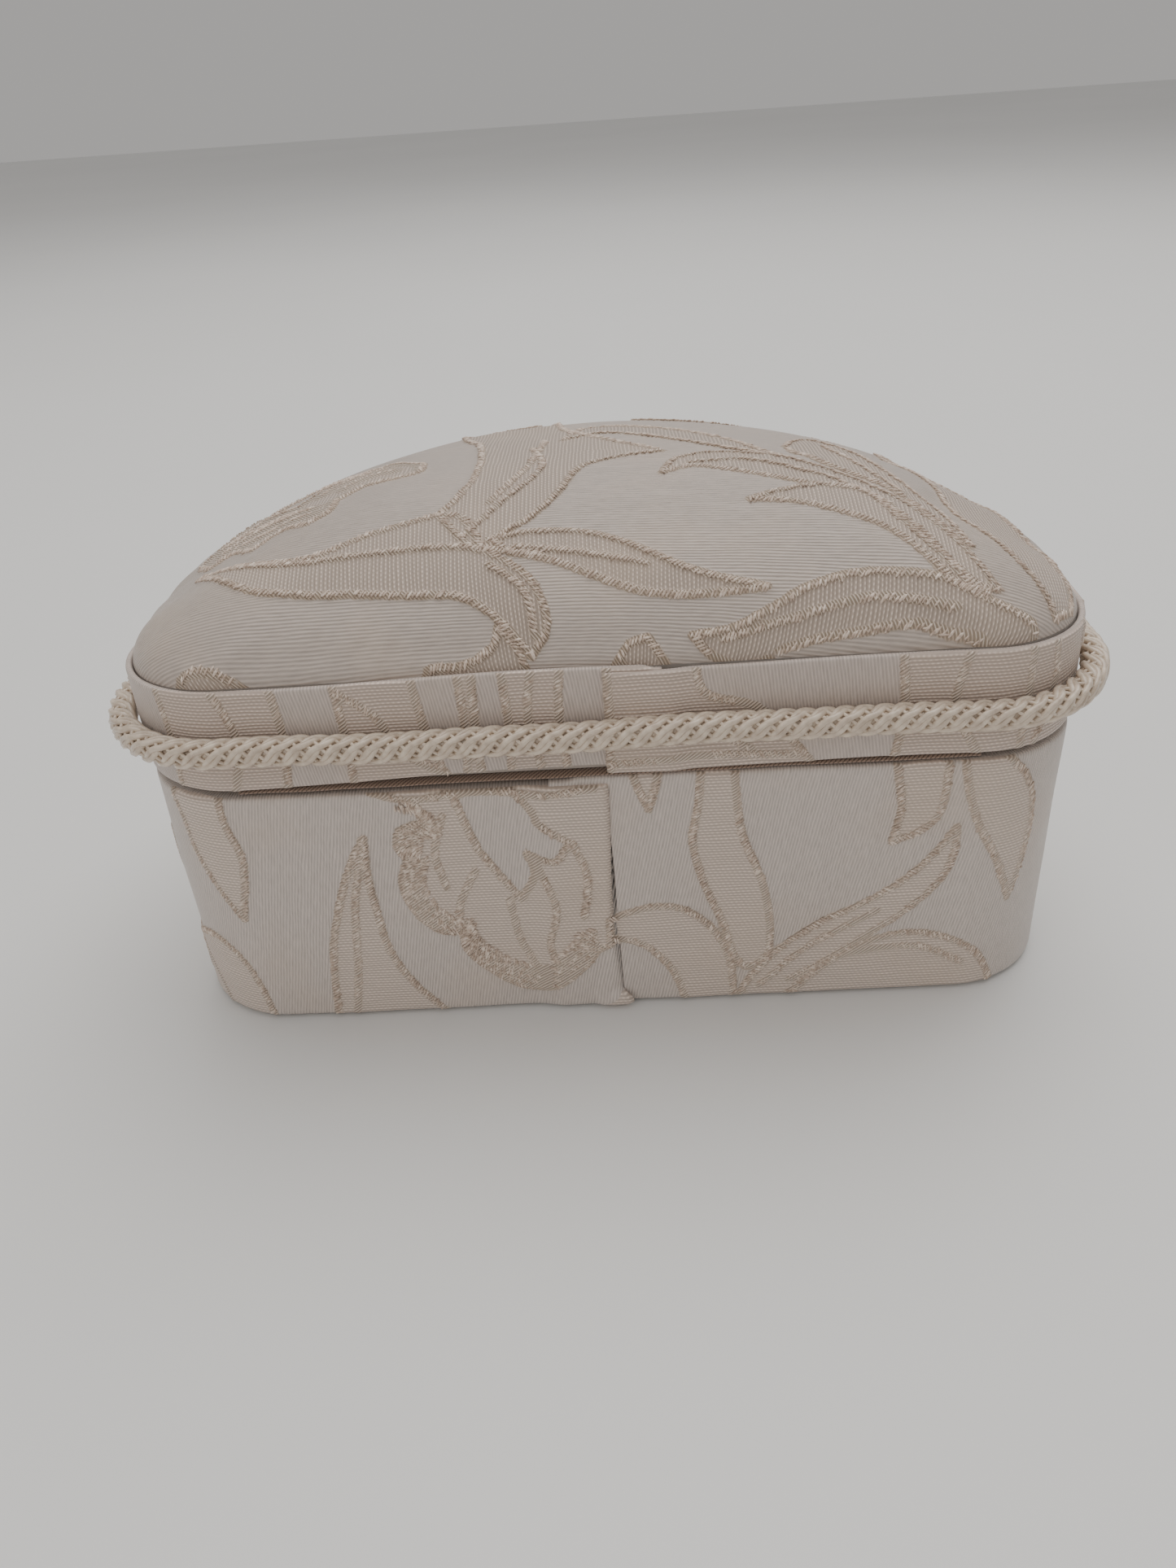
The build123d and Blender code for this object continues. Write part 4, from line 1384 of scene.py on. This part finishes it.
satin_steps = (0.3, (0.55, 0.46, 0.39)), (0.7, (0.72, 0.64, 0.55))
lining_satin, _ = speckled(
    "lining_satin", 1.0, 3, satin_steps, 0.38, sheen=0.4, bump=(0.4, 0.0001), stretch=(900, 900, 5000),
)


def lining_band(name, section, seed):
    """A band of satin round the inside: section is (inset, height) points round its thickness."""
    count = 480
    around = np.arange(count) * 2 * math.pi / count
    rings = []
    for inset, z in section:
        ring = moon_ring(inset, z, count)
        if inset > 5.0:
            slack = 0.14 * puckers(around * 55, z, 26.0, seed) + 0.05 * np.sin(around * 90 + z * 0.2)
            ring[:, :2] *= 1 - np.clip(slack, -0.1, 0.3)[:, None] / 60
        rings.append(ring)
    lattice = np.array(rings)
    faces = quads(len(section), count, closed_rows=True, closed_columns=True)
    return make_piece(name, lattice, faces, lining_satin)


def lining_section(far, rim, turned_down, count):
    """A lining's section, from its far edge, over the card's edge at the rim, and back behind it."""
    way = 1 if far < rim else -1
    face_out, face_in, behind = 5.42, 3.76, 4.95
    section = [(face_out, z) for z in np.linspace(far, rim, count)]
    over_the_edge = (
        (5.36, 0.3), (5.2, 0.5), (4.9, 0.58), (4.1, 0.58), (3.85, 0.5), (face_in, 0.3), (face_in, 0.16),
        (4.85, 0.12), (behind, -0.1),
    )
    section += [(inset, rim + way * rise) for inset, rise in over_the_edge]
    return section + [(behind, turned_down), (behind, far)]


base_section = lining_section(3.3, 46.0, 24.0, 26)
base_lining = lining_band("base_lining", base_section, 31)
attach(base_lining, "base")
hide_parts("base_lining_cloth")

lid_section = lining_section(62.2, 47.5, 55.0, 14)
lid_lining = lining_band("lid_lining", lid_section, 32)
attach(lid_lining, "lid")
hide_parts("lid_lining_cloth")

# ==== Pads and dividers ========================================================================
# Thin foam under velvet on the base's floor and behind the mirror. Velvet-covered cards stand on
# the floor and make the compartments; they slot into one another where they cross.


def moon_pad(name, inset, under, top, round_edge, material, seed, sink=0.0):
    """A half-moon cushion from height under to height top, its upper edge rounded over."""
    count = 360
    rings = []
    for share in (0.05, 0.2, 0.4, 0.6, 0.78, 0.9, 0.97):
        rings.append(moon_ring(inset + round_edge, top - sink * share ** 6, count, share))
    for turn in np.linspace(0, math.pi / 2, 7):
        inwards = round_edge * (1 - math.sin(turn))
        rings.append(moon_ring(inset + inwards, top - sink - round_edge * (1 - math.cos(turn)), count))
    rings.append(moon_ring(inset, under + 0.3, count))
    rings.append(moon_ring(inset + 0.3, under, count))
    rings += [moon_ring(inset + 1.0, under, count, share) for share in (0.8, 0.4, 0.05)]
    lattice = np.array(rings)
    dented = lattice[:12]
    dip = 0.10 * puckers(dented[..., 0], dented[..., 1], 24.0, seed)
    dented[..., 2] += np.minimum(dip, 0)
    return closed_stack(name, lattice, material)


floor_pad = moon_pad("floor_pad", 5.5, 3.22, 6.2, 1.3, velvet, 41, sink=0.25)
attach(floor_pad, "base")
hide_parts("base_floor_pad")

ceiling = moon_pad("ceiling_pad", 5.5, -62.28, -58.32, 1.2, lining_satin, 42)
flip = np.empty(len(ceiling.data.vertices) * 3)
ceiling.data.vertices.foreach_get("co", flip)
flip[2::3] *= -1
ceiling.data.vertices.foreach_set("co", flip)
ceiling.data.flip_normals()
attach(ceiling, "lid")
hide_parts("lid_ceiling_pad")


def node_mm(name):
    """The two corners of a CAD node's box, in mm."""
    return [np.array(corner) * 1000 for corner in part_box(name)]


def bar_section(half_across, low, high, radius, foot_radius=0.4, steps=6):
    """A bar's upright section, (across, height) points, rounded on top and a little at its foot."""
    turn = np.linspace(0, math.pi / 2, steps)
    right = []
    for bend in turn:
        across = half_across - foot_radius * (1 - math.sin(bend))
        right.append((across, low + foot_radius * (1 - math.cos(bend))))
    for share in np.linspace(0.2, 0.8, 5):
        right.append((half_across, low + foot_radius + (high - radius - low - foot_radius) * share))
    for bend in turn:
        across = half_across - radius * (1 - math.cos(bend))
        right.append((across, high - radius * (1 - math.sin(bend))))
    return np.array(right + [(-across, height) for across, height in reversed(right)])


def soft_bar(name, node_name, along_x, radius, material, seed,
             drop=0.0, spacing=1.6, end_round=0.8, ripple=0.06):
    """A padded bar or covered card in a CAD node's place, closed at both ends."""
    corner_low, corner_high = node_mm(node_name)
    across_axis = 1 if along_x else 0
    start, stop = corner_low[1 - across_axis], corner_high[1 - across_axis]
    across_at = (corner_low[across_axis] + corner_high[across_axis]) / 2
    half_across = (corner_high[across_axis] - corner_low[across_axis]) / 2
    low, high = corner_low[2], corner_high[2] - drop
    section = bar_section(half_across, low, high, radius)
    count = max(8, int((stop - start - 2 * end_round) / spacing))
    middle_height = (low + high) / 2
    rounding = [end_round * (1 - math.sin(turn * math.pi / 2)) for turn in np.linspace(0.15, 1, 5)]
    places = [(start + inset, 1 - inset / half_across) for inset in rounding]
    places += [(place, 1.0) for place in np.linspace(start + end_round, stop - end_round, count)]
    places += [(stop - inset, 1 - inset / half_across) for inset in rounding]
    rings = []
    for place, size in sorted(set((round(place, 4), round(size, 4)) for place, size in places)):
        shrink = (1 - size) * half_across
        across = section[:, 0] - np.sign(section[:, 0]) * np.minimum(shrink, abs(section[:, 0]) * 0.9)
        off_middle = section[:, 1] - middle_height
        tall = section[:, 1] - np.sign(off_middle) * shrink * (abs(off_middle) > 1)
        soft = ripple * puckers(section[:, 1] + section[:, 0] * 2, place, 12.0, seed)
        across = across * (1 + np.clip(soft, -1, 0) / half_across)
        if along_x:
            rings.append(np.column_stack((np.full(len(section), place), across_at + across, tall)))
        else:
            rings.append(np.column_stack((across_at + across, np.full(len(section), place), tall)))
    return closed_stack(name, np.array(rings), material)


for node_name, along_x, drop, seed in (
    ("long_divider", True, 0.0, 51),
    ("cross_divider_left", False, 0.2, 52),
    ("cross_divider_right", False, 0.2, 53),
):
    divider = soft_bar("velvet_" + node_name, node_name, along_x, 0.9, velvet, seed, drop=drop)
    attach(divider, "base")
    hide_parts(node_name)

# ==== Ring rolls ===============================================================================
# Four soft velvet rolls stand side by side on a foam bed, tight enough to grip a ring between
# them. Each roll's ends are gathered and tucked in.

bed = soft_bar(
    "velvet_ring_bed", "ring_bed", True, 1.2, velvet, 61, spacing=3.0, end_round=1.0,
)
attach(bed, "base")
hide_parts("ring_bed")

for number in (1, 2, 3, 4):
    roll = soft_bar(
        f"velvet_roll_{number}", f"ring_roll_{number}", True, 4.3, velvet, 62 + number,
        spacing=1.2, end_round=2.6, ripple=0.28,
    )
    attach(roll, "base")
    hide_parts(f"ring_roll_{number}")

# ==== Mirror ===================================================================================
# A half-moon mirror under a padded velvet frame that is glued to the ceiling of the lid.

mirror_glass, tree, surface = finish_material("mirror_glass")
smears = put(tree, "ShaderNodeTexNoise", {"Vector": object_coordinates(tree), "Scale": 35, "Detail": 4})
haze = put(tree, "ShaderNodeMapRange", {"Value": smears.outputs["Fac"], "To Min": 0.01, "To Max": 0.06})
tree.links.new(haze.outputs["Result"], surface.inputs["Roughness"])
surface.inputs["Base Color"].default_value = (0.86, 0.88, 0.88, 1)
surface.inputs["Metallic"].default_value = 1.0
dress("lid_mirror", mirror_glass)

frame_section = [
    (5.7, 58.25), (5.62, 57.2), (5.75, 56.3), (6.4, 55.55), (7.6, 55.15), (9.4, 54.98),
    (11.6, 54.92), (14.0, 55.0), (16.0, 55.25), (17.4, 55.6), (18.2, 56.05), (18.45, 56.38),
    (18.2, 56.48), (16.55, 56.48), (16.3, 57.0), (16.3, 58.25),
]
frame_count = 420
frame_rings = []
turns = np.arange(frame_count)
for inset, z in frame_section:
    ring = moon_ring(inset, z, frame_count)
    if 6.0 < inset < 18.0 and z < 55.7:
        turning = turns * 2 * math.pi * 52 / frame_count
        gathers = 0.5 + 0.5 * np.sin(turning + 1.5 * np.sin(turns * 0.21))
        ring[:, 2] += 0.16 * gathers * min(1.0, abs(inset - 11.6) / 5)
    frame_rings.append(ring)
frame_faces = quads(len(frame_section), frame_count, closed_rows=True, closed_columns=True)
mirror_frame = make_piece("mirror_frame", np.array(frame_rings), frame_faces, velvet)
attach(mirror_frame, "lid")
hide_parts("lid_mirror_frame")

# ==== Stays ====================================================================================
# A narrow satin ribbon each side, glued to both linings, stops the lid a little past upright.
# Its line is drawn straight, as the open lid pulls it, and each point is then taken back to where
# it lies when the lid is shut, slack and slightly waved inside the wall.

stay_angle = math.radians(105)
stay_half_blend = 3.6
stay_reach = 35.0


def shut_height(distance, opened):
    """The shut height of a point at this distance from the hinge, turned to this angle when open."""
    low = np.full(distance.shape, axis_z - 20.0)
    high = np.full(distance.shape, axis_z + 20.0)
    for _ in range(40):
        middle_z = (low + high) / 2
        reached = np.arcsin(np.clip((middle_z - axis_z) / distance, -1, 1))
        opening = ease(middle_z, axis_z - stay_half_blend, axis_z + stay_half_blend)
        reached = reached + stay_angle * opening
        low = np.where(reached < opened, middle_z, low)
        high = np.where(reached < opened, high, middle_z)
    return (low + high) / 2


ribbon_satin, tree, surface = finish_material("ribbon_satin")
rib_map = put(tree, "ShaderNodeUVMap", uv_map="cloth").outputs["UV"]
rib_v = put(tree, "ShaderNodeSeparateXYZ", {0: rib_map}).outputs["Y"]
rib_wave = maths(tree, "MULTIPLY_ADD", maths(tree, "SINE", maths(tree, "MULTIPLY", rib_v, 14.0)), 0.5, 0.5)
tree.links.new(
    colour_steps(tree, rib_wave, (0.0, (0.50, 0.42, 0.35)), (1.0, (0.66, 0.57, 0.49))),
    surface.inputs["Base Color"],
)
surface.inputs["Roughness"].default_value = 0.4
bumped(tree, surface, rib_wave, 0.3, 0.0001)

end_drop = math.asin(stay_half_blend / stay_reach)
chord_start, chord_stop = (
    stay_reach * np.array([math.cos(turn), math.sin(turn)]) for turn in (-end_drop, stay_angle + end_drop)
)
chord = chord_stop - chord_start
free_length = np.linalg.norm(chord)
chord = chord / free_length
tab = 3.0
ribbon_along = np.linspace(-tab, free_length + tab, 150)[:, None]
ribbon_half_width = 3.4
ribbon_thickness = 0.3
ribbon_x = 68.3
ribbon_across = np.linspace(-ribbon_half_width, ribbon_half_width, 9)[None, :]
flat_y = chord_start[0] + chord[0] * ribbon_along - chord[1] * ribbon_across
flat_z = chord_start[1] + chord[1] * ribbon_along + chord[0] * ribbon_across
distance = np.hypot(flat_y, flat_z)
opened = np.arctan2(flat_z, flat_y)
shut_z = shut_height(distance, opened)
shut_y = axis_y - np.sqrt(np.maximum(distance ** 2 - (shut_z - axis_z) ** 2, 0))
free_share = np.clip(ribbon_along / free_length, 0, 1)
waves = 0.5 * (1 - np.cos(free_share * 2 * math.pi)) + 0.07 * np.sin(free_share * 2 * math.pi * 4)
for side, name in ((-1, "left"), (1, "right")):
    shut_x = (ribbon_x - waves + 0 * ribbon_across) * side
    front = np.stack((shut_x, shut_y, shut_z), -1)
    back = front - [ribbon_thickness * side, 0, 0]
    ribbon = shell("stay_" + name, front, back, ribbon_satin)
    lay_along = np.tile(ribbon_along + 0 * ribbon_across, (2, 1))
    give_uv(ribbon, np.tile(ribbon_across + 0 * ribbon_along, (2, 1)), lay_along)
    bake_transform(ribbon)
    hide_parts("stay_ribbon_" + name)

# ==== Camera, light and table ==================================================================
# The view is from a little above and behind the case, with a wide lens. It stands on a white
# table, under soft light from a ceiling panel.

view_pitch = math.radians(31.99)
view_yaw = math.radians(2.21)
view_roll = math.radians(-4.18)
lens_place = (-0.0030, 0.2008, 0.1405)
sight = np.array([
    math.sin(view_yaw) * math.cos(view_pitch),
    -math.cos(view_yaw) * math.cos(view_pitch),
    -math.sin(view_pitch),
])
level_right = np.array([-math.cos(view_yaw), -math.sin(view_yaw), 0.0])
level_up = np.cross(level_right, sight)
right = level_right * math.cos(view_roll) + level_up * math.sin(view_roll)
up = level_up * math.cos(view_roll) - level_right * math.sin(view_roll)
camera_data = bpy.data.cameras.new("camera")
camera_data.sensor_fit = "VERTICAL"
camera_data.sensor_height = 36.0
camera_data.lens = 26.86
camera = bpy.data.objects.new("camera", camera_data)
bpy.context.scene.collection.objects.link(camera)
placing = np.eye(4)
placing[:3, 0] = right
placing[:3, 1] = up
placing[:3, 2] = -sight
placing[:3, 3] = lens_place
camera.matrix_world = Matrix(placing.tolist())
camera_data.clip_start = 0.01
bpy.context.scene.camera = camera

paint_steps = (0.3, (0.76, 0.76, 0.75)), (0.7, (0.79, 0.79, 0.78))
table_paint, _ = speckled("table_paint", 3.0, 4, paint_steps, 0.45)
table_mesh = bpy.data.meshes.new("table")
reach = 3.0
table_mesh.from_pydata(
    [(-reach, -reach, 0), (reach, -reach, 0), (reach, reach, 0), (-reach, reach, 0)], [],
    [(0, 1, 2, 3)],
)
table_mesh.materials.append(table_paint)
table = bpy.data.objects.new("table", table_mesh)
bpy.context.scene.collection.objects.link(table)


def soft_light(name, place, target, size, power, colour):
    """A square panel of light."""
    light = bpy.data.lights.new(name, "AREA")
    light.size = size
    light.energy = power
    light.color = colour
    panel = bpy.data.objects.new(name, light)
    bpy.context.scene.collection.objects.link(panel)
    aim = np.subtract(target, place)
    aim = aim / np.linalg.norm(aim)
    side = np.cross(aim, (0, 0, 1))
    side = side / np.linalg.norm(side)
    turned = np.eye(4)
    turned[:3, 0] = side
    turned[:3, 1] = np.cross(side, aim)
    turned[:3, 2] = -aim
    turned[:3, 3] = place
    panel.matrix_world = Matrix(turned.tolist())


soft_light("ceiling_panel", (-0.15, -0.40, 1.05), (0, 0, 0), 1.25, 11.8, (1.0, 0.985, 0.965))
soft_light("room_fill", (0.5, 0.9, 0.7), (0, 0, 0.03), 1.2, 3.3, (1.0, 0.965, 0.93))
world = bpy.data.worlds.new("room")
world.use_nodes = True
world.node_tree.nodes["Background"].inputs["Color"].default_value = (0.80, 0.78, 0.76, 1)
world.node_tree.nodes["Background"].inputs["Strength"].default_value = 0.52
bpy.context.scene.world = world
